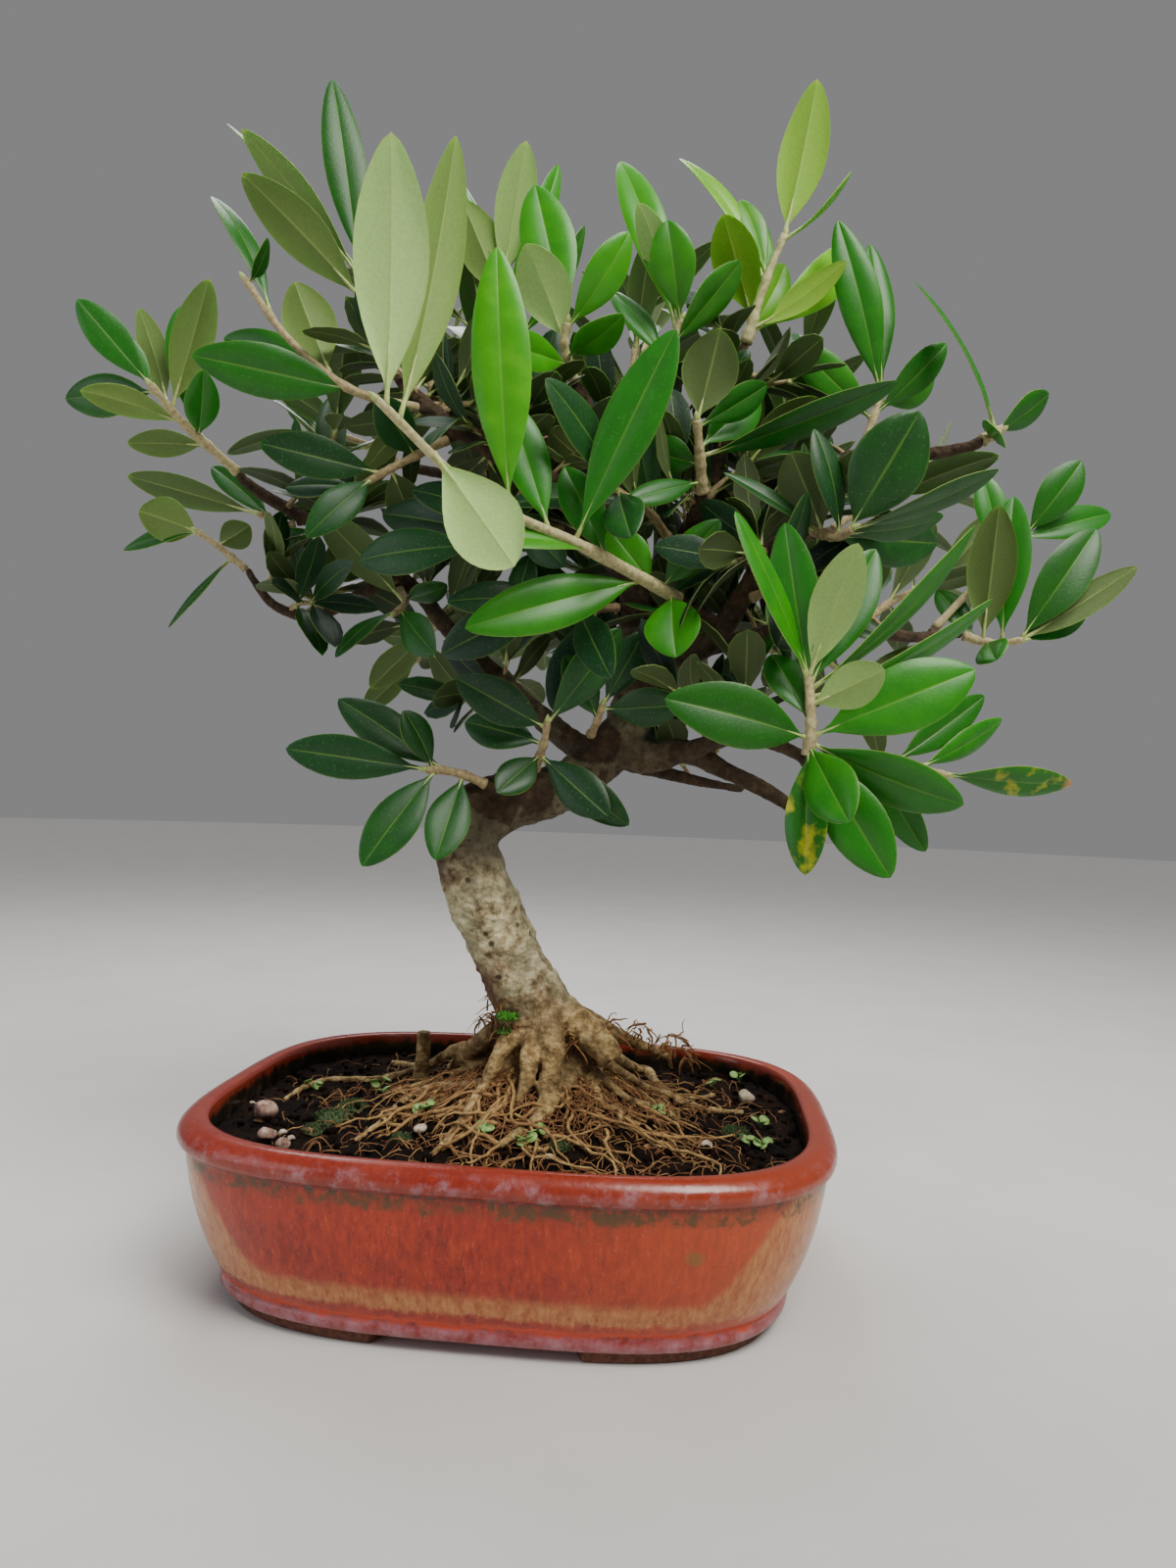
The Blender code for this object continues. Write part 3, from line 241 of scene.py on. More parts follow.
# %% Smooth curves
def smooth_path(points, count):
    """count points along a smooth curve through points, evenly spaced, as Catmull and Rom's spline."""
    ends = [points[0] * 2 - points[1], *points, points[-1] * 2 - points[-2]]
    fine = []
    for i in range(len(points) - 1):
        a, b, c, d = ends[i : i + 4]
        for k in range(8):
            t = k / 8
            fine.append(0.5 * ((b * 2) + (c - a) * t + (a * 2 - b * 5 + c * 4 - d) * t**2
                               + (b * 3 - a - c * 3 + d) * t**3))
    fine.append(points[-1])
    lengths = [0.0]
    for a, b in zip(fine, fine[1:]):
        lengths.append(lengths[-1] + (b - a).length)
    made = []
    k = 0
    for i in range(count):
        want = lengths[-1] * i / (count - 1)
        while k < len(fine) - 2 and lengths[k + 1] < want:
            k += 1
        share = (want - lengths[k]) / max(lengths[k + 1] - lengths[k], 1e-9)
        made.append(fine[k].lerp(fine[k + 1], min(share, 1.0)))
    return made



def ring_frames(path):
    """Two directions across the path at each of its points, carried along without twist."""
    frames = []
    side = Vector((1, 0, 0))
    for i, point in enumerate(path):
        along = (path[min(i + 1, len(path) - 1)] - path[max(i - 1, 0)]).normalized()
        if abs(along.dot(side)) > 0.9:
            side = Vector((0, 1, 0))
        side = (side - along * along.dot(side)).normalized()
        frames.append((side, along.cross(side)))
    return frames


def limb(path, radii, sides, knobbly=0.0):
    """A tube along the path, its radius read from radii by share of length, with knots where knobbly is over 0."""
    frames = ring_frames(path)

    def place(level, turn):
        share = level / (len(path) - 1) * (len(radii) - 1)
        k = min(int(share), len(radii) - 2)
        radius = radii[k] + (radii[k + 1] - radii[k]) * (share - k)
        radius *= 1 + knobbly * math.sin(3 * turn + 1.7 * level) * math.sin(1.3 * level + 0.4)
        a, b = frames[level]
        return path[level] + (a * math.cos(turn) + b * math.sin(turn)) * radius

    return swept(sides, len(path), place)


def drawn_limb(rows, count, foot=()):
    """count points along drawn rows (right, up, back, radius), each with its radius."""
    points = [*foot, *(Vector((*drawn(*row[:3]), row[3])) for row in rows)]
    path = smooth_path(points, count)
    return [p.to_3d() for p in path], [p.w for p in path]


def trunk_limb(count):
    """The trunk's drawn curve, carried down to stand upright in its pocket."""
    foot = [Vector((*TRUNK_FOOT, POCKET_FLOOR, FOOT_RADIUS)), Vector((*TRUNK_FOOT, POCKET_FLOOR + 9, FOOT_RADIUS))]
    path, radii = drawn_limb(TRUNK, count, foot)
    path[1].xy = TRUNK_FOOT
    return path, radii


# %% [markdown]
# ## The pot's and the soil's measures
# These are the same measures as the solids have. The pot is a rounded rectangle, drawn as a superellipse that
# shrinks by an inset, and its wall is a list of insets and heights. The soil is nearly level with a mound
# under the tree.

# %% Measures shared by pot, soil and tree
RIM_HALF_LENGTH = 103.5
RIM_HALF_WIDTH = 83.7
SQUARENESS = 3.48
SIDE_LEAN = 0.76
BAND_BOTTOM = 3.7
# (inset from the rim's outline, height), from the base band up the outside, over the rim and down inside.
POT_PROFILE = [
    (15.2, 3.7), (13.6, 4.8), (13.4, 7.2), (14.3, 8.3), (13.2, 9.6), (10.4, 15.0), (7.4, 22.5), (4.9, 31.0),
    (3.3, 39.0), (2.6, 45.4), (2.9, 46.8), (0.8, 47.6), (0.0, 49.6), (0.7, 52.0), (3.6, 54.2), (7.0, 54.6),
    (9.0, 52.4), (10.4, 36.0), (16.0, 18.0), (23.0, 11.0),
]
FOOT_TOP = 5.4
FOOT_INSET_TOP = 15.4
FOOT_INSET_BOTTOM = 17.2
FOOT_WALL = 15.0
FRONT_GAP = 51.0
SIDE_GAP = 44.0
SOIL_EDGE = 46.0
MOUND_HEIGHT = 20.0
MOUND_SPREAD = 34.0
TRUNK_FOOT = (6.0, 1.0)
POCKET_FLOOR = 52.0
POCKET_RADIUS = 15.0
FOOT_RADIUS = 13.6


def superellipse(inset, turn):
    """The pot's outline, inset from the rim, at an angle."""
    c, s = math.cos(turn), math.sin(turn)
    x = (RIM_HALF_LENGTH - inset) * math.copysign(abs(c) ** (2 / SQUARENESS), c)
    y = (RIM_HALF_WIDTH - inset * SIDE_LEAN) * math.copysign(abs(s) ** (2 / SQUARENESS), s)
    return x, y


def soil_height(x, y):
    """The soil's surface: nearly level, with a mound under the tree."""
    away = math.hypot(x - TRUNK_FOOT[0], y - TRUNK_FOOT[1])
    ripple = 0.6 * math.sin(x / 9.0) * math.cos(y / 8.0)
    return SOIL_EDGE + MOUND_HEIGHT * math.exp(-((away / MOUND_SPREAD) ** 2)) + ripple


# %% [markdown]
# ## The tree as drawn
# The trunk and the boughs are rows of right, up, back and radius. Each shoot has its stem, and a leaf is a
# place along the stem, the place of its tip, its width and how far its upper face turns from the viewer.

# %% Trunk and boughs
# A shoot's stem, and the gap that parts it from the twig of the wood that carries it.
STEM_SIDES = 4
STEM_POINTS = 4
STEM_GAP = 0.3
SPUR_SIDES = 4
BOUGH_SIDES = 5
TRUNK_SIDES = 8
TRUNK_RINGS = 21

# A leaf: a thin stalk, then a long ellipse that ends in a point. Its section is flat above with a keel below.
LEAF_LEVELS = (0.0, 0.10, 0.36, 0.72, 1.0)
LEAF_THICKNESS = 0.85
STALK_SHARE = 0.09
STALK_HALF_WIDTH = 0.75
LEAF_CLEARANCE = 0.55
LOWEST_LEAF = 2.4
# The finer levels that a leaf is tested at before it takes its place.
TEST_LEVELS = (0.0, 0.1, 0.22, 0.36, 0.54, 0.72, 0.86, 1.0)

# What is in the way of something else is slid by these along the line of sight.
SLIDES = (0, -5, 5, -10, 10, -15, 15, -21, 21, -27, 27, 34)
FILL_TRIES = 14

# The trunk: (right, up, back, radius).
TRUNK = [
    (-16.0, -83.0, 0, 13.6), (-20.0, -73.0, 0, 12.6), (-27.0, -59.0, -2, 11.4), (-34.0, -43.0, -4, 11.6),
    (-40.0, -28.0, -5, 10.8), (-41.0, -16.0, -5, 11.4), (-33.0, -8.0, -3, 10.6), (-21.0, -5.0, 0, 9.0),
    (-8.0, -0.5, 3, 8.6), (4.0, 8.0, 5, 8.2), (12.5, 19.0, 6, 8.0), (16.5, 31.0, 6, 7.4), (17.5, 44.0, 5, 6.8),
    (17.0, 58.0, 4, 6.0), (15.0, 72.0, 3, 5.4), (12.0, 86.0, 2, 4.9), (7.0, 101.0, 1, 4.4), (2.0, 118.0, 0, 3.6),
    (-3.0, 134.0, -8, 2.8),
]

# The boughs, in the same measure.
BOUGHS = {
    "pruned_knob": [(-36, -14, -5, 10.0), (-41, -9, -6, 9.6), (-45, -5, -6, 8.0)],
    "low_right": [(8, 12, 5, 6.4), (22, 9, 4, 5.6), (33, 11, 0, 4.4), (48, 4, -10, 3.0), (62, -3, -18, 2.7),
                  (72, -10, -22, 2.0)],
    "to_rosette": [(31, 10, 0, 3.6), (46, 15, -20, 2.8), (62, 14, -42, 2.3), (72, 10, -53, 1.9)],
    "under_right": [(10, 8, 8, 3.2), (33, 2, 12, 2.2), (53, -2, 16, 1.5)],
    "dark_right": [(16, 34, 6, 4.8), (33, 45, 0, 4.0), (53, 49, -5, 3.4), (70, 53, -6, 3.0), (93, 53, 4, 2.6),
                   (110, 50, 15, 2.2), (125, 51, 22, 1.8)],
    "rough_right": [(18, 42, 5, 4.8), (40, 47, -8, 4.2), (54, 66, -18, 3.6), (62, 80, -25, 2.8), (74, 86, -30, 2.2)],
    "inner_up": [(17, 58, 4, 4.4), (32, 80, 0, 3.8), (39, 96, -12, 3.0)],
    "tall_right": [(30, 77, 0, 3.6), (42, 104, 8, 3.2), (50, 132, 10, 2.6), (53, 147, 9, 2.0)],
    "far_right": [(38, 92, 5, 3.4), (70, 104, 14, 3.0), (92, 112, 14, 2.6), (113, 112, 6, 2.4), (131, 115, 0, 2.0)],
    "left_back": [(2, 8, 6, 5.0), (-20, 26, 20, 4.2), (-46, 51, 36, 3.4), (-62, 69, 46, 3.0), (-92, 88, 52, 2.7),
                  (-110, 98, 42, 2.4), (-118, 104, 32, 2.0)],
    "left_low": [(-66, 71, 46, 2.6), (-82, 62, 48, 2.4), (-94, 57, 46, 2.4), (-107, 61, 43, 2.0),
                 (-115, 71, 41, 1.5)],
    "left_high": [(9, 97, 1, 3.6), (-20, 106, -4, 3.2), (-43, 120, -9, 2.8), (-63, 136, -12, 2.1)],
    "back_low": [(14, 26, 8, 5.0), (16, 38, 34, 4.0), (14, 50, 66, 3.0), (10, 62, 90, 2.2)],
    "back_right": [(17, 50, 6, 4.4), (38, 66, 34, 3.6), (58, 78, 62, 2.8), (82, 86, 74, 2.0)],
    "back_left": [(15, 70, 4, 4.2), (-6, 88, 30, 3.4), (-34, 102, 54, 2.8), (-62, 108, 66, 2.0)],
    "back_high": [(8, 99, 2, 3.4), (12, 114, 28, 2.8), (14, 130, 52, 2.0)],
}

# %% Shoots seen from the front
# Leafy shoots that the front view shows. A stem is drawn points, its two radii follow, and each leaf is
# (where along the stem, right, up, back of its tip, width, turn of its upper face away from the viewer in degrees).
SHOOTS = {
    "whip": ([(31, 63, -19), (0, 80, -42), (-27, 92, -58), (-57, 112, -72), (-69, 125, -80), (-72, 131, -82)], 2.1, 1.1, [
        (0.97, -67, 222, -92, 20, 172), (0.93, -45, 221, -70, 15, 168), (0.82, -25, 74, -88, 21, 184),
        (0.58, -31, 183, -66, 17, -6), (0.46, -28, 132, -44, 14, 12), (0.38, 30, 155, -56, 17, -14),
        (0.31, -45, 83, -64, 10, 52), (0.27, -8, 108, -36, 13, 8), (0.13, -42, 53, -50, 17, 14),
        (0.10, 7, 87, -26, 13, 4), (0.07, 45, 90, -28, 12, -8), (0.03, 30, 43, -36, 18, 10)]),
    "rosette": ([(75, 10, -58), (76, 22, -60), (75, 37, -58)], 1.7, 1.0, [
        (0.20, 26, 29, -68, 18, 12), (0.22, 132, 39, -62, 20, -4), (0.16, 128, -7, -66, 16, 24),
        (0.12, 89, -13, -80, 16, 16), (0.14, 103, -32, -70, 17, 8), (0.12, 74, -31, -46, 12, 8),
        (0.40, 62, 44, -46, 12, 24), (0.62, 101, 39, -74, 13, 172), (0.94, 50, 93, -66, 11, 58),
        (0.92, 67, 89, -60, 14, -6), (0.96, 92, 82, -74, 14, 184), (0.85, 98, 80, -48, 15, 4),
        (0.80, 132, 88, -66, 10, 56), (0.70, 138, 63, -60, 9, 52)]),
    "rosette_side": ([(77, 9, -50), (98, 9, -42), (122, 3, -38)], 1.5, 1.0, [
        (0.97, 165, 0, -36, 11, 34), (0.62, 135, 30, -28, 11, 16), (0.80, 141, 22, -24, 9, 30),
        (0.45, 115, -23, -46, 11, 18)]),
    "right_tip": ([(126, 51, 22), (137, 48, 21), (148, 49, 18)], 1.6, 1.0, [
        (0.95, 173, 87, 20, 17, 6), (0.98, 187, 74, 12, 12, 158), (0.90, 170, 60, 28, 13, -8),
        (0.66, 145, 98, 24, 16, -4), (0.34, 140, 95, 8, 17, 176), (0.42, 139, 42, 8, 13, 10),
        (0.20, 119, 66, 32, 11, 30)]),
    "right_upper": ([(118, 53, 22), (136, 72, 32), (150, 86, 38)], 1.5, 1.0, [
        (0.96, 168, 110, 34, 15, 14), (0.70, 134, 106, 36, 12, 20), (0.90, 178, 92, 48, 13, -20)]),
    "dull_leaf": ([(75, 87, -31), (84, 84, -39), (90, 87, -43)], 1.6, 1.1, [
        (0.92, 113, 127, -54, 22, 4), (0.96, 140, 107, -44, 11, 54), (0.80, 121, 91, -28, 10, 34),
        (0.52, 119, 82, -16, 17, 4), (0.30, 69, 113, -36, 17, 172), (0.70, 77, 121, -44, 12, 46),
        (0.18, 46, 106, -32, 8, 60)]),
    "twig_folded": ([(39, 97, -13), (38, 112, -21), (37, 124, -26)], 1.9, 1.2, [
        (0.97, 45, 155, -34, 18, 176), (0.90, 61, 136, -20, 11, 22), (0.62, 58, 133, -6, 15, 4),
        (0.40, 19, 114, -14, 13, -4), (0.16, 13, 96, -24, 9, 26), (0.50, 106, 137, -18, 12, 34)]),
    "tall_tip": ([(53, 148, 9), (60, 170, 6), (67, 187, 4)], 1.9, 1.1, [
        (0.98, 78, 240, 0, 17, 164), (0.93, 90, 209, -5, 12, 84), (0.20, 46, 194, -14, 16, 178),
        (0.24, 57, 194, 14, 13, 6), (0.55, 31, 213, 18, 10, 58), (0.60, 52, 199, 22, 9, 30),
        (0.10, 67, 177, 18, 12, 20), (0.12, 88, 178, 6, 10, 152), (0.08, 92, 183, 30, 16, 18)]),
    "crown_front": ([(-4, 135, -9), (-8, 148, -17), (-7, 157, -20)], 1.8, 1.1, [
        (0.70, -21, 184, -34, 17, 176), (0.90, 14, 188, -26, 13, 18), (0.97, -18, 204, -12, 18, 2),
        (0.45, 12, 160, -36, 12, 30), (0.30, -30, 150, -36, 12, 20)]),
    "crown_mid": ([(17, 122, 0), (26, 144, -6), (32, 158, -8)], 1.7, 1.1, [
        (0.95, 17, 198, -18, 12, 160), (0.97, 27, 192, -8, 15, 2), (0.88, 11, 212, 4, 14, 18),
        (0.60, 8, 168, 2, 11, 40), (0.75, 52, 178, -12, 12, 20)]),
    "crown_left": ([(-12, 124, 4), (-24, 148, 8), (-30, 170, 8)], 1.7, 1.1, [
        (0.88, -43, 199, 4, 16, 178), (0.97, -21, 219, 0, 14, 178), (0.90, -10, 211, 16, 10, 30),
        (0.60, -1, 190, 26, 10, 40), (0.80, -45, 208, 18, 9, 70)]),
    "left_crown": ([(-64, 137, -12), (-75, 156, -13), (-78, 176, -11)], 1.8, 1.1, [
        (0.97, -87, 240, -8, 14, 8), (0.90, -118, 223, -18, 12, 150), (0.70, -118, 208, -34, 16, 168),
        (0.95, -123, 225, -2, 11, 86), (0.55, -52, 190, 4, 14, 10)]),
    "left_twig": ([(-58, 128, -14), (-84, 136, -28), (-108, 158, -34), (-117, 172, -34)], 1.5, 1.0, [
        (0.97, -109, 186, -36, 8, 58), (0.45, -100, 171, -26, 17, 184), (0.30, -135, 146, -44, 16, 4),
        (0.36, -124, 152, -22, 14, 10), (0.80, -128, 200, -30, 9, 40)]),
    "left_tip": ([(-118, 105, 31), (-127, 113, 22), (-139, 124, 12), (-149, 136, 4)], 1.8, 1.2, [
        (0.97, -174, 165, -2, 13, 2), (0.75, -129, 172, -8, 14, 176), (0.93, -178, 131, 16, 15, 12),
        (0.60, -173, 134, -4, 11, 156), (0.50, -138, 163, 18, 15, 4), (0.45, -131, 141, 0, 12, 12),
        (0.35, -157, 116, 16, 10, 168), (0.95, -162, 154, 22, 9, 20), (0.80, -153, 162, 28, 11, 160)]),
    "low_left_tip": ([(-115, 72, 41), (-126, 81, 38), (-133, 86, 36)], 1.4, 1.0, [
        (0.95, -153, 93, 34, 17, 168), (0.60, -115, 88, 46, 12, 170), (0.30, -143, 53, 30, 9, 74),
        (0.97, -158, 80, 46, 11, 56)]),
    "left_hanging": ([(-96, 89, 52), (-104, 88, 50), (-112, 92, 48)], 1.4, 1.0, [
        (0.30, -96, 77, 46, 14, 10), (0.95, -157, 105, 52, 12, 170), (0.60, -128, 108, 56, 11, 20),
        (0.70, -82, 97, 40, 10, 176)]),
    "left_under": ([(-64, 66, 40), (-62, 62, 32), (-66, 58, 24)], 1.4, 1.0, [
        (0.50, -92, 93, 34, 15, 174), (0.90, -86, 43, 18, 11, 62), (0.80, -52, 44, 14, 14, 20),
        (0.40, -48, 68, 26, 11, 40)]),
    "low_shoot": ([(-35, 0, -13), (-45, 4, -18), (-55, 5, -22)], 1.6, 1.1, [
        (0.97, -103, 12, -30, 14, 2), (0.85, -77, -28, -36, 15, 12), (0.40, -52, -26, -32, 14, 4),
        (0.72, -85, 29, -10, 15, 22), (0.90, -63, 25, -28, 11, 30)]),
    "trunk_shoot": ([(-18, 5, -10), (-15, 14, -18), (-14, 21, -20)], 1.5, 1.0, [
        (0.90, -45, 36, -30, 14, 4), (0.60, -42, 21, -16, 14, 20), (0.97, 11, 53, -24, 14, 20),
        (0.36, 7, -11, -28, 14, 4), (0.30, 14, -14, -18, 13, 12), (0.34, -31, -3, -28, 12, 14)]),
    "trunk_shoot_right": ([(1, 17, -5), (3, 21, -12), (5, 27, -15)], 1.5, 1.0, [
        (0.97, 19, 52, -18, 12, 10), (0.90, 32, 27, -24, 13, 10), (0.60, -8, 44, -20, 12, 20)]),
    "hanging_dark": ([(10, 60, -4), (-4, 60, -14), (-14, 62, -18)], 1.5, 1.0, [
        (0.30, -12, 25, -22, 15, 2), (0.95, -50, 44, -14, 16, 22), (0.80, -48, 62, -24, 13, 30),
        (0.60, 8, 36, -28, 13, 10)]),
    "under_whip": ([(-20, 103, -8), (-28, 90, -22), (-36, 80, -30)], 1.5, 1.0, [
        (0.95, -78, 76, -20, 15, 20), (0.60, -60, 100, -24, 13, 30), (0.80, -70, 92, -8, 14, 10),
        (0.40, -8, 74, -26, 13, 16)]),
    "left_mid": ([(-46, 118, -8), (-66, 108, -14), (-80, 100, -14)], 1.5, 1.0, [
        (0.95, -103, 101, -6, 11, 50), (0.70, -112, 116, -26, 14, 10), (0.60, -58, 86, -2, 13, 172),
        (0.80, -96, 84, -30, 12, 14), (0.35, -72, 132, -36, 13, 8)]),
    "cut_right": ([(131, 115, 0), (136, 118, -2), (141, 121, -4)], 1.9, 1.5, [
        (0.60, 157, 133, 2, 12, 40), (0.40, 140, 120, -14, 12, 20), (0.70, 110, 172, 6, 9, 78)]),
    "right_spears": ([(93, 113, 14), (97, 124, 14), (100, 134, 16)], 1.7, 1.1, [
        (0.90, 85, 192, 8, 15, 14), (0.97, 96, 184, 22, 13, 30), (0.60, 122, 150, 12, 12, 20),
        (0.50, 70, 150, 6, 14, 10), (0.75, 118, 138, 30, 13, 24)]),
}

# %% Shoots that fill the crown, and the roots
# Shoots that fill the crown, mostly behind: (start, end, pairs of leaves, leaf length, leaf width).
FILLERS = [
    ((12, 118, 30), (18, 160, 46), 3, 44, 13), ((-24, 112, 32), (-40, 156, 44), 3, 44, 13),
    ((-50, 122, 8), (-62, 160, 26), 3, 42, 13), ((60, 104, 20), (74, 146, 36), 3, 44, 13),
    ((14, 130, 54), (20, 150, 84), 3, 42, 13), ((-34, 104, 58), (-46, 134, 82), 3, 42, 13),
    ((58, 80, 64), (64, 116, 84), 3, 42, 13), ((82, 86, 76), (112, 100, 84), 3, 42, 13),
    ((-62, 108, 68), (-92, 120, 82), 3, 42, 12), ((10, 62, 92), (4, 84, 122), 3, 42, 13),
    ((0, 92, 40), (-8, 108, 104), 3, 40, 12), ((40, 66, 38), (70, 60, 96), 3, 40, 13),
    ((92, 54, 6), (120, 68, 50), 3, 40, 12), ((60, 50, 0), (92, 34, 34), 3, 38, 12),
    ((12, 52, 70), (-24, 50, 104), 3, 38, 12), ((-50, 56, 40), (-58, 42, 82), 3, 36, 12),
    ((30, 80, 0), (10, 100, -34), 3, 38, 13), ((34, 88, -4), (54, 108, -28), 2, 38, 13),
    ((52, 62, -16), (70, 62, -38), 2, 36, 13), ((-90, 90, 50), (-86, 120, 24), 3, 38, 12),
]

# Surface roots of the front elevation: the two radii, then points. A point with (right, up) alone lies on the
# soil, and one with a third number lies that far back.
ROOTS = [
    (2.6, 1.2, [(-18, -86, 2), (-28.7, -88, 10), (-43.7, -90, 22), (-50.3, -93.3, 34), (-58, -97.3), (-66.7, -95.7)]),
    (2.2, 1.0, [(-14, -86, -6), (-24, -93, -6), (-32.7, -101.7), (-36, -105), (-41.7, -113.7), (-53, -127)]),
    (1.6, 0.9, [(-34, -103), (-44.3, -104.3), (-51.7, -103.7), (-58.7, -106.3), (-66.7, -112.3), (-79.3, -122.3)]),
    (2.4, 1.3, [(-8, -88, -6), (-5.3, -100), (-10.3, -107.7), (-15, -113.7), (-24.7, -120.7), (-30.7, -124.7)]),
    (2.2, 1.2, [(-9, -90, -7), (-7.3, -98.7), (-13, -106), (-19, -114.3)]),
    (1.6, 1.0, [(-3, -90, -6), (-1.3, -100), (3.3, -106.3), (5.3, -111), (10.3, -112.3), (11, -118.3)]),
    (2.4, 1.4, [(-10, -87, -6), (0, -98), (5.3, -102), (8.3, -105)]),
    (2.8, 1.0, [(-2, -88, -2), (18, -98), (28.3, -106.7), (43.3, -106.7), (60, -108.3)]),
    (2.2, 0.9, [(-2, -90, -4), (24, -106), (40, -111.7), (53.3, -112.7), (66.7, -113.3), (72.7, -118.7)]),
    (1.8, 1.0, [(-4, -92, -6), (16.7, -110), (25, -109.3), (27.7, -113.3), (32.7, -117.3)]),
    (1.5, 0.9, [(-58, -98), (-71, -101.5), (-80, -101.7), (-90, -101.7), (-98.3, -105), (-103.3, -108.3)]),
    (6.2, 4.0, [(-11, -77, -1), (-3, -82, -7), (4.5, -89, -10), (8, -94, -11)]),
    (3.6, 1.2, [(-10, -76, 2), (0, -80, 5), (8, -84.5, 8), (16, -88, 13), (28, -93, 22), (42, -99)]),
    (4.6, 2.4, [(-16, -79, -4), (-13.3, -84, -12), (-11.7, -91, -17), (-13, -101, -20), (-17, -108)]),
    (3.6, 1.6, [(-20, -80, -6), (-27, -87, -11), (-32, -96, -14), (-36, -104)]),
    (3.4, 1.6, [(-22, -77, 2), (-31, -83, 4), (-38, -89, 6), (-47, -97)]),
    (3.4, 1.6, [(-18, -82, -7), (-20, -91, -16), (-21, -101, -20), (-25, -110)]),
]
# Roots that leave behind: (bearing in degrees, reach, radius). 0 points right and 90 to the back.
BACK_ROOTS = [(24, 44, 2.6), (62, 40, 2.4), (100, 44, 2.8), (136, 44, 2.4), (166, 46, 2.6)]
# A pruned root that stands out of the soil at the left: (right, up, back, radius).
ROOT_STUMP = [(-57, -108, 34, 3.4), (-57, -99, 30, 3.2), (-56, -91, 28, 3.0), (-56, -84, 27, 2.8)]
ROOT_POINTS = 5
ROOT_SIDES = 4
ROOT_MARGIN = 16.0

# Loose pebbles on the soil: (x, y, width).
PEBBLES = [(-80, -27, 9), (-72, -44, 6), (-64, -52, 5), (78, 30, 6.5), (63, -28, 4.5)]

# %% [markdown]
# ## Laying out the tree
# The solids' leaves stand clear of each other, because each took the first free place on its line of sight.
# The same search is repeated here with the same seeds, so every finer leaf lies exactly on its solid. The
# test shapes are thin tubes and blades that are thrown away afterwards.

# %% Side twigs and stems
def nearest_wood(point, limbs):
    """The nearest point of the boughs to a shoot's start, and its radius there."""
    best = min(((point - p).length, i, j) for i, (path, _) in enumerate(limbs) for j, p in enumerate(path))
    path, radii = limbs[best[1]]
    share = best[2] / (len(path) - 1) * (len(radii) - 1)
    k = min(int(share), len(radii) - 2)
    return path[best[2]], radii[k] + (radii[k + 1] - radii[k]) * (share - k)


def spur_path(start, heading, limbs):
    """The short side twig that carries a shoot: from the nearest bough to the shoot's start, square to its end."""
    root, size = nearest_wood(start, limbs)
    knee = start - heading * min(3.0, (start - root).length * 0.45)
    return [root, knee, start], size


def shoot_plans():
    """Each shoot as (name, stem points, thick radius, thin radius, leaves), drawn ones first."""
    plans = []
    for name, (rows, thick, thin, leaves) in SHOOTS.items():
        plans.append((name, [drawn(*row) for row in rows], thick, thin, leaves))
    for i, (start, end, pairs, length, width) in enumerate(FILLERS):
        a, b = drawn(*start), drawn(*end)
        middle = a.lerp(b, 0.5) + Vector((0, 0, 3.0))
        plans.append((f"filler_{i + 1:02d}", [a, middle, b], 1.6, 1.0, (pairs, length, width)))
    return plans


def stem_tries(points):
    """A stem's path as drawn, then slid along the sight line, each time also started further out on its spur."""
    for slide in SLIDES:
        moved = [points[0]]
        for i, point in enumerate(points[1:]):
            share = (i + 1) / (len(points) - 1)
            moved.append(EYE + (point - EYE) * (1 + slide * share / VIEW_DISTANCE))
        reach = (moved[1] - moved[0]).length
        for push in (0, 2, 4, 6, 8):
            if push < reach - 2:
                yield smooth_path([moved[0].lerp(moved[1], push / reach), *moved[1:]], STEM_POINTS)


# %% Leaves
def blade_width(share, width, belly):
    """Half the blade's width at a share of its length."""
    if share <= STALK_SHARE:
        return STALK_HALF_WIDTH
    run = (share - STALK_SHARE) / (1 - STALK_SHARE)
    return max(STALK_HALF_WIDTH * (1 - run), width / 2 * math.sin(math.pi * run**belly) ** 0.8)


def leaf_blade(leaf, levels=LEAF_LEVELS, grow=0.0):
    """A thin solid leaf from (base, tip, normal, width, belly, sag), swollen all round by grow."""
    base, tip, normal, width, belly, sag = leaf
    chord = tip - base
    last = len(levels) - 1

    def place(level, turn):
        share = levels[level]
        centre = base + chord * share + normal * (sag * 4 * share * (1 - share))
        along = (chord + normal * (sag * 4 * (1 - 2 * share))).normalized()
        if level == last:
            return centre + along * grow
        top = (normal - along * normal.dot(along)).normalized()
        side = along.cross(top)
        half = blade_width(share, width, belly) + grow
        corner = round(turn / math.tau * 3) % 3
        if corner == 2:
            return centre - top * (LEAF_THICKNESS / 2 + grow)
        return centre + side * (half if corner else -half) + top * (LEAF_THICKNESS / 2 + grow)

    return swept(3, len(levels), place)


def upper_face(chord, towards):
    """The direction square to the chord that is nearest to towards."""
    flat = towards - chord * (towards.dot(chord) / chord.length_squared)
    return flat.normalized()


def drawn_leaf_tries(name, index, row, path):
    """A drawn leaf as (base, tip, normal, width, belly, sag), first as drawn and then slid along the sight line."""
    at, right, up, back, width, turn = row
    draw = random.Random(f"{name} leaf {index}")
    belly = draw.uniform(0.98, 1.22)
    bow = draw.uniform(0.02, 0.09)
    base = point_along(path, clear_of_joint(at, path))
    for slide in SLIDES:
        tip = drawn(right, up, back + slide)
        chord = tip - base
        normal = upper_face(chord, EYE - base)
        normal = Matrix.Rotation(math.radians(turn), 3, chord) @ normal
        yield base, tip, normal, width, belly, bow * chord.length


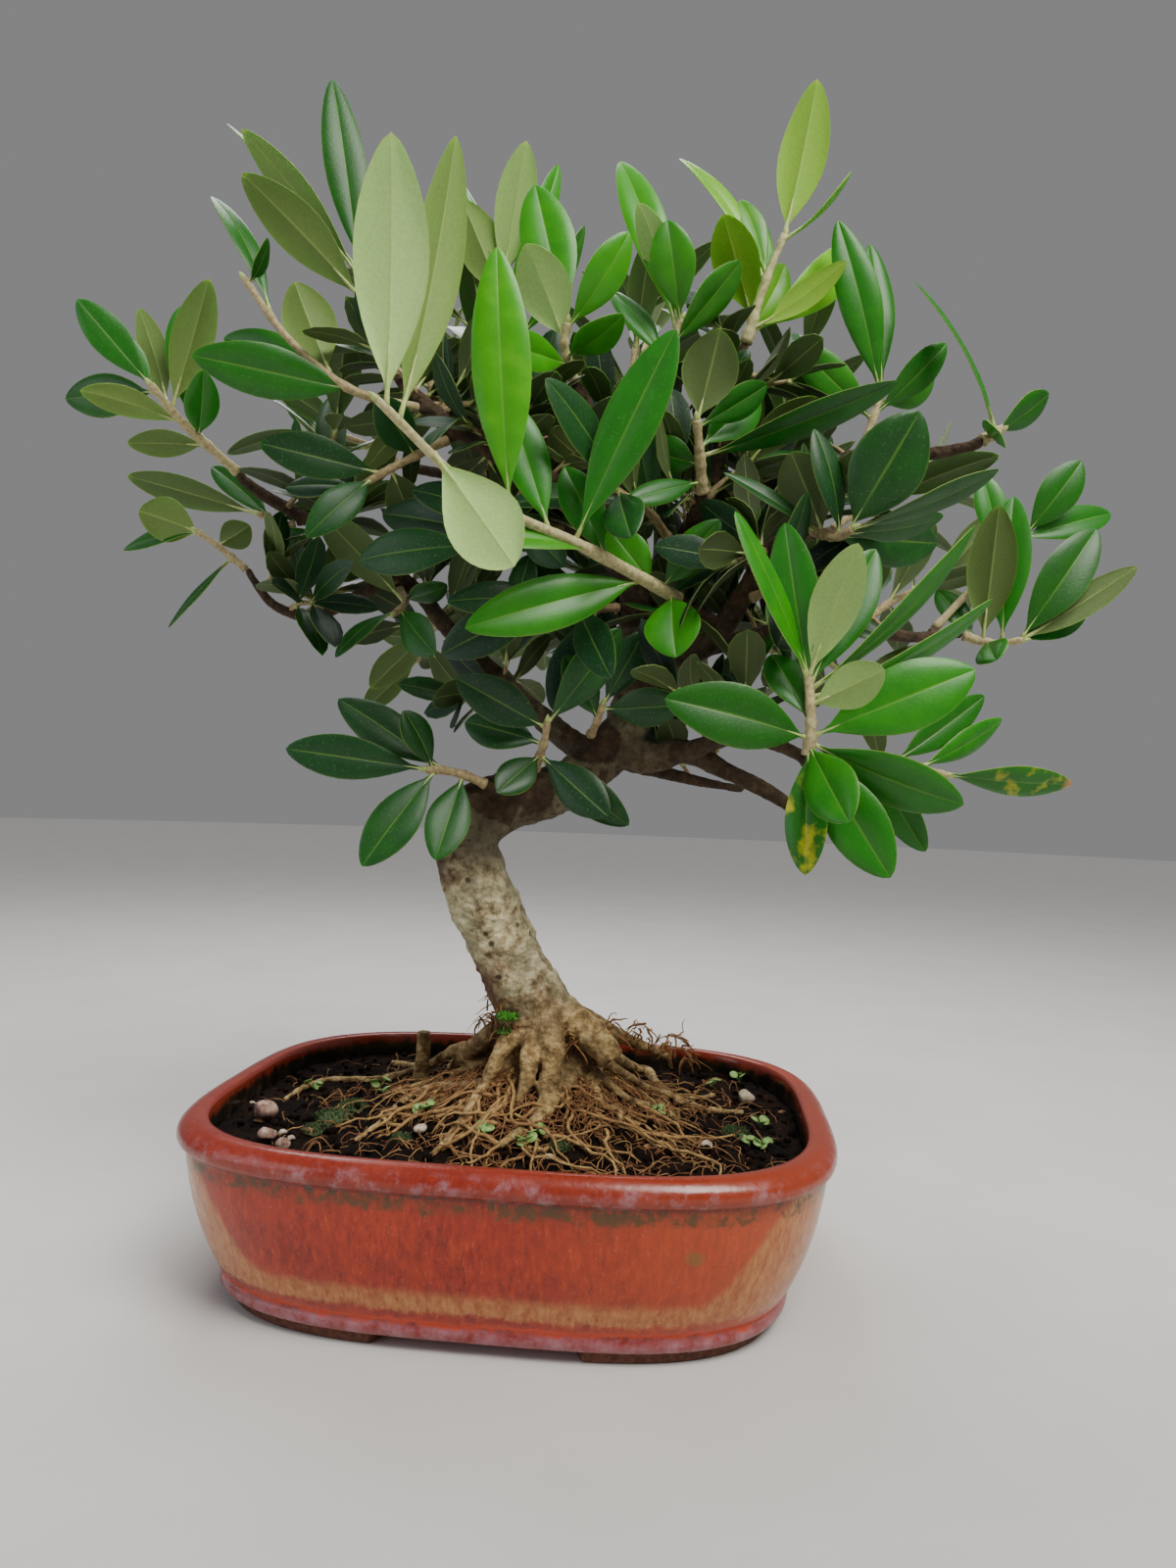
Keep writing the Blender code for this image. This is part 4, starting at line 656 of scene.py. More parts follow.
def filler_leaf_tries(name, index, plan, path):
    """A leaf set by the olive's rule: opposite pairs, each pair a quarter turn on from the last."""
    pairs, length, width = plan
    pair, hand = divmod(index, 2)
    at = 0.30 + 0.68 * pair / max(pairs - 1, 1)
    base = point_along(path, at)
    heading = (point_along(path, min(at + 0.05, 1.0)) - point_along(path, at - 0.1)).normalized()
    across = upper_face(heading, Vector((0.3, 0.2, 1)))
    draw = random.Random(f"{name} leaf {index}")
    size = draw.uniform(0.82, 1.15)
    belly = draw.uniform(0.95, 1.25)
    bow = draw.uniform(0.02, 0.10)
    for attempt in range(FILL_TRIES):
        roll = math.pi * hand + math.pi / 2 * pair + 0.35 + draw.uniform(-0.25, 0.25) * (1 + attempt * 0.45)
        lean = math.radians(48 - 12 * pair / max(pairs - 1, 1) + draw.uniform(-12, 12) * (1 + attempt * 0.2))
        outward = Matrix.Rotation(roll, 3, heading) @ across
        way = heading * math.cos(lean) + outward * math.sin(lean)
        reach = length * size * (1 - 0.03 * attempt)
        tip = base + way * reach
        normal = upper_face(tip - base, heading + Vector((0, 0, 0.6)))
        yield base, tip, normal, width * size, belly, bow * reach


def clear_of_joint(at, path):
    """A leaf's place on its stem, kept off the stem's lower end, which butts on the wood."""
    return max(at, LOWEST_LEAF / sum((b - a).length for a, b in zip(path, path[1:])))


def point_along(path, share):
    place = max(0.0, min(share, 1.0)) * (len(path) - 1)
    k = min(int(place), len(path) - 2)
    return path[k].lerp(path[k + 1], place - k)


def bvh(bm):
    made = BVHTree.FromBMesh(bm)
    bm.free()
    return made


def touches(tree, others):
    return any(tree.overlap(other) for other in others)


def past_end(path):
    """The path made a little longer, so that a stem keeps off a limb's end too."""
    return [*path[:-1], path[-1] + (path[-1] - path[-2]).normalized() * 1.5]


# %% The whole layout
def plan_tree():
    """Lays out the boughs, then each stem and each leaf in a place where it is clear of all that came before.

    It returns the boughs, the spurs, for each shoot its stem and leaves, and the limbs' test shapes.
    """
    boughs = [(*trunk_limb(TRUNK_RINGS), TRUNK_SIDES, 0.035)]
    boughs += [(*drawn_limb(rows, len(rows)), BOUGH_SIDES, 0.0) for rows in BOUGHS.values()]
    solid = [bvh(limb(past_end(path), [r + 0.3 for r in radii], sides)) for path, radii, sides, _ in boughs]
    limbs = [(smooth_path(path, 3 * len(path)), radii) for path, radii, _, _ in boughs]
    spurs = []
    shoots = {}
    for name, points, thick, thin, leaves in shoot_plans():
        for stem in stem_tries(points):
            radii = [thick, (thick + thin) / 2, thin]
            tested = bvh(limb(stem, [r + 0.4 for r in radii], STEM_SIDES))
            heading = (stem[1] - stem[0]).normalized()
            path, size = spur_path(stem[0] - heading * STEM_GAP, heading, limbs)
            spur_radii = [min(thick * 1.4, size), thick * 1.1, thick * 1.05]
            spur_tested = bvh(limb(path, [r + 0.4 for r in spur_radii], SPUR_SIDES))
            stems = [shoot["tested"][0] for shoot in shoots.values()]
            if not touches(tested, solid + stems) and not touches(spur_tested, stems):
                break
        else:
            print("stem in the way:", name)
        spurs.append((path, spur_radii))
        shoots[name] = {"stem": stem, "radii": radii, "rows": leaves, "leaves": [], "tested": [tested]}
        solid.append(spur_tested)
    for i, (name, shoot) in enumerate(shoots.items()):
        own = bvh(limb(*spurs[i], SPUR_SIDES))
        wood = [tree for k, tree in enumerate(solid) if k != len(boughs) + i]
        leaves = [tree for key, other in shoots.items() if key != name for tree in other["tested"]]
        lay_leaves(name, shoot, wood + leaves, own)
    return boughs, spurs, shoots, solid


def lay_leaves(name, shoot, taken, own_spur):
    """Finds a clear place for each leaf of one shoot, or leaves it out."""
    is_drawn = isinstance(shoot["rows"], list)
    mine = []
    for index in range(len(shoot["rows"]) if is_drawn else 2 * shoot["rows"][0]):
        if is_drawn:
            tries = drawn_leaf_tries(name, index, shoot["rows"][index], shoot["stem"])
        else:
            tries = filler_leaf_tries(name, index, shoot["rows"], shoot["stem"])
        for leaf in tries:
            base, tip, *rest = leaf
            whole = bvh(leaf_blade(leaf, TEST_LEVELS, LEAF_CLEARANCE))
            near_fit = bvh(leaf_blade(leaf, TEST_LEVELS, 0.1))
            beyond_stalk = bvh(leaf_blade((base.lerp(tip, 0.16), tip, *rest), TEST_LEVELS, 0.2))
            if not touches(whole, taken) and not near_fit.overlap(own_spur) and not touches(beyond_stalk, mine):
                mine.append(beyond_stalk)
                shoot["tested"].append(whole)
                shoot["leaves"].append(leaf)
                break
        else:
            print("no room for", name, index)


boughs, spurs, shoots, limb_tests = plan_tree()
print(sum(len(shoot["leaves"]) for shoot in shoots.values()), "leaves on", len(shoots), "shoots")

# %% [markdown]
# ## Helpers for finished pieces
# A finished piece is slid to the solids' place, gets its finishes, and rides on the plant's one body. Shapes
# that belong to one piece are gathered in one mesh. A tube here has a radius at every point of its path, and
# its rings are carried along without twist, which shows on a shape this fine.

# %% Gathering, tubes and pieces
def gather(target, shape, finish_index=0, **values):
    """Adds a shape to another and frees it. Each value is kept as a number on its points."""
    mesh = bpy.data.meshes.new("passing")
    shape.to_mesh(mesh)
    shape.free()
    first_vert, first_face = len(target.verts), len(target.faces)
    target.from_mesh(mesh)
    bpy.data.meshes.remove(mesh)
    target.verts.ensure_lookup_table()
    target.faces.ensure_lookup_table()
    for key, value in values.items():
        layer = target.verts.layers.float.get(key) or target.verts.layers.float.new(key)
        target.verts.ensure_lookup_table()
        for v in target.verts[first_vert:]:
            v[layer] = value
    target.faces.ensure_lookup_table()
    for f in target.faces[first_face:]:
        f.material_index = finish_index


def tube(path, sizes, sides):
    """A round tube with one radius for each point of its path."""
    side = Vector((1, 0, 0)) if abs((path[1] - path[0]).normalized().x) < 0.8 else Vector((0, 1, 0))
    rings = []
    for i in range(len(path)):
        along = (path[min(i + 1, len(path) - 1)] - path[max(i - 1, 0)]).normalized()
        side = (side - along * along.dot(side)).normalized()
        rings.append((side, along.cross(side)))

    def place(level, turn):
        a, b = rings[level]
        return path[level] + (a * math.cos(turn) + b * math.sin(turn)) * sizes[level]

    return swept(sides, len(path), place)


def piece(bm, name, nodes, finishes):
    bmesh.ops.translate(bm, vec=POT_MIDDLE, verts=bm.verts)
    mesh = bpy.data.meshes.new(name)
    bm.to_mesh(mesh)
    bm.free()
    for made in finishes:
        mesh.materials.append(made)
    mesh.shade_smooth()
    obj = bpy.data.objects.new(name, mesh)
    bpy.context.scene.collection.objects.link(obj)
    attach(obj, "root")
    if nodes:
        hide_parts(*nodes)
    mesh.calc_loop_triangles()
    print(name, len(mesh.loop_triangles), "triangles")
    return obj


# %% [markdown]
# ## Red glaze
# The pot is stoneware under a brick-red reduction glaze. A glaze runs while it melts. It thins to ochre where
# the wall turns in over the foot, pools dark under the groove, and fires to a cloudy purple grey on the rim.
# So the colour is built from heights, each edge broken by noise, over fine upright streaks. Glass over the
# colour gives an index of 1.5 and a roughness near 0.15.

# %% Red glaze
def band(tree, height, rise, full, fall, gone):
    """A mask that is 1 between the heights full and fall, in millimetres, and 0 under rise and over gone."""
    low = add(tree, "MapRange", {"Value": height, "From Min": rise * MM, "From Max": full * MM},
              interpolation_type="SMOOTHSTEP")
    high = add(tree, "MapRange", {"Value": height, "From Min": fall * MM, "From Max": gone * MM, "To Min": 1.0,
                                  "To Max": 0.0}, interpolation_type="SMOOTHSTEP")
    return add(tree, "Math", {0: low, 1: high}, operation="MULTIPLY")


def over(tree, under, mask, strength, colour):
    """Paints a colour over another where the mask is 1."""
    share = add(tree, "Math", {0: mask, 1: strength}, operation="MULTIPLY")
    return add(tree, "MixRGB", {"Fac": share, "Color1": under, "Color2": colour})


def glaze_colours(tree):
    """The glaze's colour, worked out from where a point is on the pot."""
    here = (add(tree, "TexCoord"), "Object")
    centred = add(tree, "Mapping", {"Vector": here, "Location": -POT_MIDDLE})
    split = add(tree, "SeparateXYZ", {"Vector": centred})
    upright = add(tree, "Mapping", {"Vector": centred, "Scale": (1, 1, 0.22)})
    streaks = add(tree, "TexNoise", {"Vector": upright, "Scale": marks(1.5), "Detail": 8, "Roughness": 0.7})
    grains = add(tree, "TexNoise", {"Vector": centred, "Scale": marks(0.9), "Detail": 3})
    clouds = add(tree, "TexNoise", {"Vector": centred, "Scale": marks(17), "Detail": 6, "Roughness": 0.62})
    wisps = add(tree, "TexNoise", {"Vector": centred, "Scale": marks(6), "Detail": 6, "Roughness": 0.7})
    red = add(tree, "ValToRGB", {"Fac": streaks}, stops=[
        (0.30, linear("4A0A04")), (0.44, linear("861806")), (0.58, linear("A82C0C")), (0.74, linear("CC5828"))])
    cloud_tone = add(tree, "ValToRGB", {"Fac": clouds}, stops=[(0.32, linear("6A1204")), (0.68, linear("B23C12"))])
    body = add(tree, "MixRGB", {"Fac": 0.36, "Color1": red, "Color2": cloud_tone})
    fleck = add(tree, "ValToRGB", {"Fac": grains}, stops=[(0.62, (0, 0, 0, 1)), (0.72, (1, 1, 1, 1))])
    body = over(tree, body, fleck, 0.22, linear("D88A66"))
    # The wavering height: the real one moved by a few millimetres of noise.
    lift = add(tree, "Math", {0: wisps, 1: 0.005, 2: (split, "Z")}, operation="MULTIPLY_ADD")
    height = add(tree, "Math", {0: streaks, 1: 0.003, 2: lift}, operation="MULTIPLY_ADD")
    # The thin ochre band rises towards the pot's ends.
    side = add(tree, "Math", {0: (split, "X")}, operation="ABSOLUTE")
    end = add(tree, "MapRange", {"Value": side, "From Min": 0.060, "From Max": 0.092, "To Max": 0.030},
              interpolation_type="SMOOTHSTEP")
    low = add(tree, "Math", {0: height, 1: end}, operation="SUBTRACT")
    under_line = add(tree, "MapRange", {"Value": low, "From Min": 0.0205, "From Max": 0.0245, "To Min": 1.0,
                                        "To Max": 0.0}, interpolation_type="SMOOTHSTEP")
    thin = add(tree, "Math", {0: band(tree, height, 15.6, 17.4, 90, 91), 1: under_line}, operation="MULTIPLY")
    ochre = add(tree, "ValToRGB", {"Fac": streaks}, stops=[(0.35, linear("96481E")), (0.65, linear("C08A50"))])
    # The right of the pot is painted lighter and more orange: painted light from the lamp at the front right.
    painted_light_right = add(tree, "MapRange", {"Value": (split, "X"), "From Min": 0.01, "From Max": 0.09})
    colour = over(tree, body, painted_light_right, 0.4, linear("C86028"))
    colour = over(tree, colour, thin, 0.85, ochre)
    colour = over(tree, colour, band(tree, height, 11.8, 12.6, 13.4, 14.6), 0.85, linear("C03A10"))
    # The bottom ring, where the glaze gathered against the foot, is clouded purple.
    purple = add(tree, "ValToRGB", {"Fac": wisps}, stops=[(0.38, linear("7C2018")), (0.62, linear("9C6A74"))])
    colour = over(tree, colour, band(tree, height, 2.0, 3.0, 11.4, 12.8), 0.9, purple)
    # Olive-brown drips hang under the groove, in blots and not in a line.
    blots = add(tree, "TexNoise", {"Vector": upright, "Scale": marks(3.0), "Detail": 7, "Roughness": 0.75})
    hanging = add(tree, "Math", {0: blots, 1: 0.012, 2: (split, "Z")}, operation="MULTIPLY_ADD")
    broken = add(tree, "ValToRGB", {"Fac": wisps}, stops=[(0.44, (0.2, 0.2, 0.2, 1)), (0.54, (1, 1, 1, 1))])
    drips = add(tree, "Math", {0: band(tree, hanging, 47.6, 49.0, 51.5, 53.0), 1: broken}, operation="MULTIPLY")
    colour = over(tree, colour, drips, 0.85, linear("443812"))
    # A hairline crack and a smear of moss green mark the front wall.
    wavering = add(tree, "Math", {0: wisps, 1: 0.006, 2: (split, "X")}, operation="MULTIPLY_ADD")
    crack = add(tree, "Math", {0: band(tree, wavering, 0.6, 0.85, 0.95, 1.2), 1: band(tree, (split, "Z"), 21, 23, 30, 33)},
                operation="MULTIPLY")
    colour = over(tree, colour, crack, 0.8, linear("2A0A04"))
    to_smear = add(tree, "VectorMath", {0: centred, 1: metres((60, -77, 33))}, operation="DISTANCE")
    smear_edge = add(tree, "Math", {0: wisps, 1: 0.006, 2: (to_smear, "Value")}, operation="MULTIPLY_ADD")
    smear = add(tree, "MapRange", {"Value": smear_edge, "From Min": 0.004, "From Max": 0.006, "To Min": 1.0,
                                   "To Max": 0.0})
    colour = over(tree, colour, smear, 0.55, linear("5A5E28"))
    # A fine dark line is painted in the groove: painted shade in the recess.
    colour = over(tree, colour, band(tree, (split, "Z"), 45.9, 46.4, 46.9, 47.4), 0.55, linear("3A0D06"))
    # The rim is brown red, clouded with purple grey on its outer edge.
    rim = band(tree, (split, "Z"), 46.9, 47.8, 60.0, 61.0)
    colour = over(tree, colour, rim, 0.62, linear("78281C"))
    misty = add(tree, "ValToRGB", {"Fac": wisps}, stops=[(0.50, (0, 0, 0, 1)), (0.72, (1, 1, 1, 1))])
    outer = band(tree, (split, "Z"), 46.0, 47.5, 51.0, 54.4)
    mist = add(tree, "Math", {0: outer, 1: misty}, operation="MULTIPLY")
    colour = over(tree, colour, mist, 0.65, linear("A58A94"))
    return colour, streaks, clouds


glaze, tree, shader = finish("reduction_fired_red_glaze", Roughness=0.2, IOR=1.5, Coat_Weight=0.1, Coat_Roughness=0.1)
colour, streaks, clouds = glaze_colours(tree)
tree.links.new(colour.outputs[0], shader.inputs["Base Color"])
peel = add(tree, "TexNoise", {"Vector": (add(tree, "TexCoord"), "Object"), "Scale": marks(2.4), "Detail": 6})
skin = add(tree, "Bump", {"Height": peel, "Strength": 0.35, "Distance": 0.0004})
tree.links.new(skin.outputs[0], shader.inputs["Normal"])
gloss = add(tree, "MapRange", {"Value": clouds, "From Min": 0.3, "From Max": 0.7, "To Min": 0.2, "To Max": 0.4})
tree.links.new(gloss.outputs[0], shader.inputs["Roughness"])

inner_glaze, tree, shader = finish("pooled_dark_glaze", Roughness=0.22, IOR=1.52)
here = (add(tree, "TexCoord"), "Object")
centred = add(tree, "Mapping", {"Vector": here, "Location": -POT_MIDDLE})
split = add(tree, "SeparateXYZ", {"Vector": centred})
mottle = add(tree, "TexNoise", {"Vector": centred, "Scale": marks(5), "Detail": 5})
stained = add(tree, "ValToRGB", {"Fac": mottle}, stops=[
    (0.35, linear("0E120C")), (0.55, linear("231D14")), (0.75, linear("46342A"))])
wet = add(tree, "Math", {0: mottle, 1: 0.006, 2: (split, "Z")}, operation="MULTIPLY_ADD")
tone = over(tree, stained, band(tree, wet, 53.0, 56.0, 70.0, 71.0), 0.9, linear("842A18"))
tree.links.new(tone.outputs[0], shader.inputs["Base Color"])

clay, tree, shader = finish("bare_fired_clay", Roughness=0.9)
grog = add(tree, "TexNoise", {"Vector": (add(tree, "TexCoord"), "Object"), "Scale": marks(1.4), "Detail": 6})
tone = add(tree, "ValToRGB", {"Fac": grog}, stops=[(0.3, linear("3E2014")), (0.7, linear("6E4230"))])
tree.links.new(tone.outputs[0], shader.inputs["Base Color"])
grit = add(tree, "Bump", {"Height": grog, "Strength": 0.5, "Distance": 0.0003})
tree.links.new(grit.outputs[0], shader.inputs["Normal"])

# %% [markdown]
# ## The pot
# The pot was pressed in a mould, so every level is the same rounded rectangle. The wall's profile is smoothed
# by a spline through the measured insets and heights, and a tube's levels are carried round that profile, as
# a lathe would for a round pot. The feet are four bent blocks with softened edges under the corners.

# %% Pot wall
POT_TURNS = 168
POT_LEVELS = 96

profile = smooth_path([Vector((inset, height, 0)) for inset, height in POT_PROFILE], POT_LEVELS)
wall = swept(POT_TURNS, POT_LEVELS, lambda level, turn: (*superellipse(profile[level].x, turn), profile[level].y))
INNER_START = 8.6
for f in wall.faces:
    point = f.calc_center_median() / MM
    across = (abs(point.x) / (RIM_HALF_LENGTH - INNER_START)) ** SQUARENESS
    along = (abs(point.y) / (RIM_HALF_WIDTH - INNER_START * SIDE_LEAN)) ** SQUARENESS
    f.material_index = int(across + along < 1 and point.z > 24)
piece(wall, "glazed_pot", ["pot"], [glaze, inner_glaze])

# %% Feet
feet = bmesh.new()
for sx in (-1, 1):
    for sy in (-1, 1):
        foot = bmesh.new()
        bmesh.ops.create_grid(foot, x_segments=22, y_segments=3, size=1)
        for v in foot.verts:
            turn = math.radians(9 + 72 * (v.co.x + 1) / 2)
            x, y = superellipse(FOOT_INSET_BOTTOM + FOOT_WALL * (v.co.y + 1) / 2, turn)
            v.co = metres((sx * max(x, FRONT_GAP / 2), sy * max(y, SIDE_GAP / 2), 0))
        risen = bmesh.ops.extrude_face_region(foot, geom=foot.faces[:])["geom"]
        top = [g for g in risen if isinstance(g, bmesh.types.BMVert)]
        bmesh.ops.translate(foot, vec=metres((0, 0, FOOT_TOP)), verts=top)
        bmesh.ops.scale(foot, vec=(1.018, 1.018, 1), verts=top)
        bmesh.ops.remove_doubles(foot, verts=foot.verts, dist=1e-6)
        bmesh.ops.recalc_face_normals(foot, faces=foot.faces)
        sharp = [e for e in foot.edges if len(e.link_faces) == 2 and e.calc_face_angle(0) > 0.7]
        bmesh.ops.bevel(foot, geom=sharp, offset=0.9 * MM, segments=3, profile=0.5, affect="EDGES", material=-1)
        gather(feet, foot)
piece(feet, "pot_feet", ["pot"], [clay])

# %% [markdown]
# ## Potting soil
# Peat-based potting soil is nearly black when moist, crumbly, with bits of bark and fibre. The surface is a
# fine grid pressed into the pot's outline, raised by noise in two sizes, clods and crumbs. Loose crumbs are
# then strewn on it, because noise alone gives no overhangs and no small shadows.

# %% Soil material
soil_finish, tree, shader = finish("moist_peat_soil", Roughness=1.0, Specular_IOR_Level=0.15)
place = (add(tree, "TexCoord"), "Object")
crumb = add(tree, "TexNoise", {"Vector": place, "Scale": marks(1.6), "Detail": 8, "Roughness": 0.7})
patch = add(tree, "TexNoise", {"Vector": place, "Scale": marks(14), "Detail": 3})
dark = add(tree, "ValToRGB", {"Fac": crumb}, stops=[
    (0.25, linear("070403")), (0.50, linear("180D07")), (0.64, linear("2E1B0E")), (0.80, linear("5C3E22"))])
drier = add(tree, "ValToRGB", {"Fac": patch}, stops=[(0.42, linear("8A8078")), (0.62, linear("FFEFD8"))])
tone = add(tree, "MixRGB", {"Fac": 1.0, "Color1": dark, "Color2": drier}, blend_type="MULTIPLY")
tree.links.new(tone.outputs[0], shader.inputs["Base Color"])
relief = add(tree, "Bump", {"Height": crumb, "Strength": 0.9, "Distance": 0.0009})
tree.links.new(relief.outputs[0], shader.inputs["Normal"])

# %% Soil surface
SOIL_INSET = 9.7


def clods(x, y):
    """How far the soil's clods and crumbs stand over or under its even surface."""
    big = noise.noise(Vector((x / 8.0, y / 8.0, 3.1)))
    small = noise.noise(Vector((x / 2.6, y / 2.6, 7.7)))
    tiny = noise.noise(Vector((x / 1.2, y / 1.2, 1.3)))
    return 1.3 * big + 0.9 * small + 0.35 * tiny


def surface(x, y):
    return soil_height(x, y) + clods(x, y)


soil = bmesh.new()
bmesh.ops.create_grid(soil, x_segments=170, y_segments=138, size=1)
for v in soil.verts:
    share = max(abs(v.co.x), abs(v.co.y))
    x, y = superellipse(SOIL_INSET, math.atan2(v.co.y * 0.81, v.co.x))
    x, y = x * share, y * share
    v.co = metres((x, y, surface(x, y)))
sides = bmesh.ops.extrude_edge_only(soil, edges=[e for e in soil.edges if e.is_boundary])["geom"]
lowered = [g for g in sides if isinstance(g, bmesh.types.BMVert)]
for v in lowered:
    v.co = Vector((v.co.x * 0.9, v.co.y * 0.9, 20 * MM))
bmesh.ops.holes_fill(soil, edges=[e for e in soil.edges if e.is_boundary])
bmesh.ops.recalc_face_normals(soil, faces=soil.faces)
piece(soil, "potting_soil", ["soil"], [soil_finish])

# %% Loose crumbs
def in_pot(x, y, inset):
    return (abs(x) / (RIM_HALF_LENGTH - inset)) ** SQUARENESS + (abs(y) / (RIM_HALF_WIDTH - inset)) ** SQUARENESS < 1


draw = random.Random("crumbs")
crumbs = bmesh.new()
while len(crumbs.verts) < 12 * 1500:
    x, y = draw.uniform(-95, 95), draw.uniform(-76, 76)
    if not in_pot(x, y, 11):
        continue
    size = draw.uniform(0.5, 1.0) ** 3 * 3.4
    turn = Matrix.Rotation(draw.uniform(0, 6), 4, "X") @ Matrix.Rotation(draw.uniform(0, 6), 4, "Z")
    stretch = Matrix.Diagonal((draw.uniform(0.7, 1.3), 1, draw.uniform(0.6, 1), 1))
    where = Matrix.Translation(metres((x, y, surface(x, y) + size * 0.2)))
    bmesh.ops.create_icosphere(crumbs, subdivisions=1, radius=size / 2 * MM, matrix=where @ turn @ stretch)
piece(crumbs, "soil_crumbs", [], [soil_finish])

# %% [markdown]
# ## Bark
# Olive bark is smooth and grey-tan when young. On an old trunk it is thick, lumpy and flaky, with pits and a
# thin grey-green film of lichen. Roots that were bared are yellow-tan. Each point of the wood keeps three
# numbers: how thick its limb is, whether it is a root, and how far its skin was pushed in or out. The bark
# reads them, so that colour and relief follow the growth. Painted light and shade lie over that colour: the
# skin's hollows are darker and its lumps lighter, the pits are painted near black, and the bark high under
# the crown is darkened by a painted shadow.

# %% Bark material
def attribute(tree, name):
    return (add(tree, "Attribute", attribute_name=name), "Fac")


bark, tree, shader = finish("olive_bark", Roughness=0.92)
place = (add(tree, "TexCoord"), "Object")
flakes = add(tree, "TexNoise", {"Vector": place, "Scale": marks(3.4), "Detail": 9, "Roughness": 0.68})
patches = add(tree, "TexNoise", {"Vector": place, "Scale": marks(15), "Detail": 5, "Roughness": 0.6})
warts = add(tree, "TexVoronoi", {"Vector": place, "Scale": marks(1.7), "Randomness": 1.0})
pits = add(tree, "TexVoronoi", {"Vector": place, "Scale": marks(9), "Randomness": 1.0})
old = add(tree, "ValToRGB", {"Fac": flakes}, stops=[
    (0.30, linear("443826")), (0.42, linear("8C7C58")), (0.53, linear("C2B48A")), (0.70, linear("E6DCBA"))])
film = add(tree, "ValToRGB", {"Fac": patches}, stops=[(0.45, (0, 0, 0, 1)), (0.60, (0.5, 0.5, 0.5, 1))])
grey = add(tree, "MixRGB", {"Fac": film, "Color1": old, "Color2": linear("B4B08C")})
rust = add(tree, "ValToRGB", {"Fac": patches}, stops=[(0.36, (0.6, 0.6, 0.6, 1)), (0.44, (0, 0, 0, 1))])
aged = add(tree, "MixRGB", {"Fac": rust, "Color1": grey, "Color2": linear("6B4228")})
young = add(tree, "ValToRGB", {"Fac": flakes}, stops=[
    (0.32, linear("3A291A")), (0.50, linear("6A5236")), (0.70, linear("9A8258"))])
thick = add(tree, "MapRange", {"Value": attribute(tree, "thickness"), "From Min": 3.0, "From Max": 8.0})
wood = add(tree, "MixRGB", {"Fac": thick, "Color1": young, "Color2": aged})
bared = add(tree, "ValToRGB", {"Fac": flakes}, stops=[
    (0.28, linear("42301C")), (0.44, linear("84693F")), (0.58, linear("B89C68")), (0.78, linear("E2D0A6"))])
tone = add(tree, "MixRGB", {"Fac": attribute(tree, "root"), "Color1": wood, "Color2": bared})
# A red-brown scar lies on the left of the trunk's foot, where roots were cut.
scar_place = metres(drawn(-37, -70, -6)) + POT_MIDDLE
near_scar = add(tree, "VectorMath", {0: place, 1: scar_place}, operation="DISTANCE")
scar_edge = add(tree, "Math", {0: flakes, 1: -0.012, 2: (near_scar, "Value")}, operation="MULTIPLY_ADD")
scar = add(tree, "MapRange", {"Value": scar_edge, "From Min": 0.0, "From Max": 0.006, "To Min": 0.75, "To Max": 0.0})
tone = add(tree, "MixRGB", {"Fac": scar, "Color1": tone, "Color2": linear("5C2A1C")})
# Painted shadow: the bark high on the trunk, under the crown, is darkened towards dark brown, where the crown's shadow
# falls.
above = add(tree, "SeparateXYZ", {"Vector": place})
shadow = add(tree, "MapRange", {"Value": (above, "Z"), "From Min": 0.112, "From Max": 0.140, "To Max": 0.74},
             interpolation_type="SMOOTHSTEP")
tone = add(tree, "MixRGB", {"Fac": shadow, "Color1": tone, "Color2": linear("281A0D")})
# Painted light and shade: where the skin was pushed in the bark is darker, and where it stands out, lighter.
relief_light_and_shade = add(tree, "MapRange", {"Value": attribute(tree, "relief"), "From Min": -1.0, "From Max": 0.6, "To Min": 0.5,
                              "To Max": 1.15})
shaded = add(tree, "HueSaturation", {"Color": tone, "Value": relief_light_and_shade})
# Painted shade: the pits of old bark are darkened to near black, as shade fills the holes; the bump below also dents
# them.
hole = add(tree, "ValToRGB", {"Fac": (pits, "Distance")}, stops=[(0.06, (0.8, 0.8, 0.8, 1)), (0.13, (0, 0, 0, 1))])
old_hole = add(tree, "Math", {0: hole, 1: thick}, operation="MULTIPLY")
pitted = add(tree, "MixRGB", {"Fac": old_hole, "Color1": shaded, "Color2": linear("1A120B")})
tree.links.new(pitted.outputs[0], shader.inputs["Base Color"])
wart = add(tree, "Math", {0: (warts, "Distance"), 1: -0.5, 2: flakes}, operation="MULTIPLY_ADD")
dent = add(tree, "Math", {0: wart, 1: old_hole}, operation="SUBTRACT")
bump = add(tree, "Bump", {"Height": dent, "Strength": 1.0, "Distance": 0.0012})
tree.links.new(bump.outputs[0], shader.inputs["Normal"])

# %% [markdown]
# ## Trunk, boughs and surface roots
# In a living tree one limb swells out of another with no seam. Round tubes are laid along the same curves as
# the solids have, and one skin is drawn over all of them, which rounds every fork. The skin is then pushed in
# and out by noise: long lumps first, then flakes, each in step with the limb's thickness.

# %% One skin over crossing tubes
def skinned(shapes, cell):
    """One closed skin round all the shapes, in square faces of about cell millimetres."""
    bm = bmesh.new()
    for shape in shapes:
        gather(bm, shape)
    mesh = bpy.data.meshes.new("limbs")
    bm.to_mesh(mesh)
    bm.free()
    limbs = bpy.data.objects.new("limbs", mesh)
    bpy.context.scene.collection.objects.link(limbs)
    remesh = limbs.modifiers.new("skin", "REMESH")
    remesh.mode = "VOXEL"
    remesh.voxel_size = cell * MM
    skin = bpy.data.meshes.new_from_object(limbs.evaluated_get(bpy.context.evaluated_depsgraph_get()))
    bpy.data.objects.remove(limbs)
    bpy.data.meshes.remove(mesh)
    bm = bmesh.new()
    bm.from_mesh(skin)
    bpy.data.meshes.remove(skin)
    for _ in range(2):
        bmesh.ops.smooth_vert(bm, verts=bm.verts, factor=0.5, use_axis_x=True, use_axis_y=True, use_axis_z=True)
    return bm


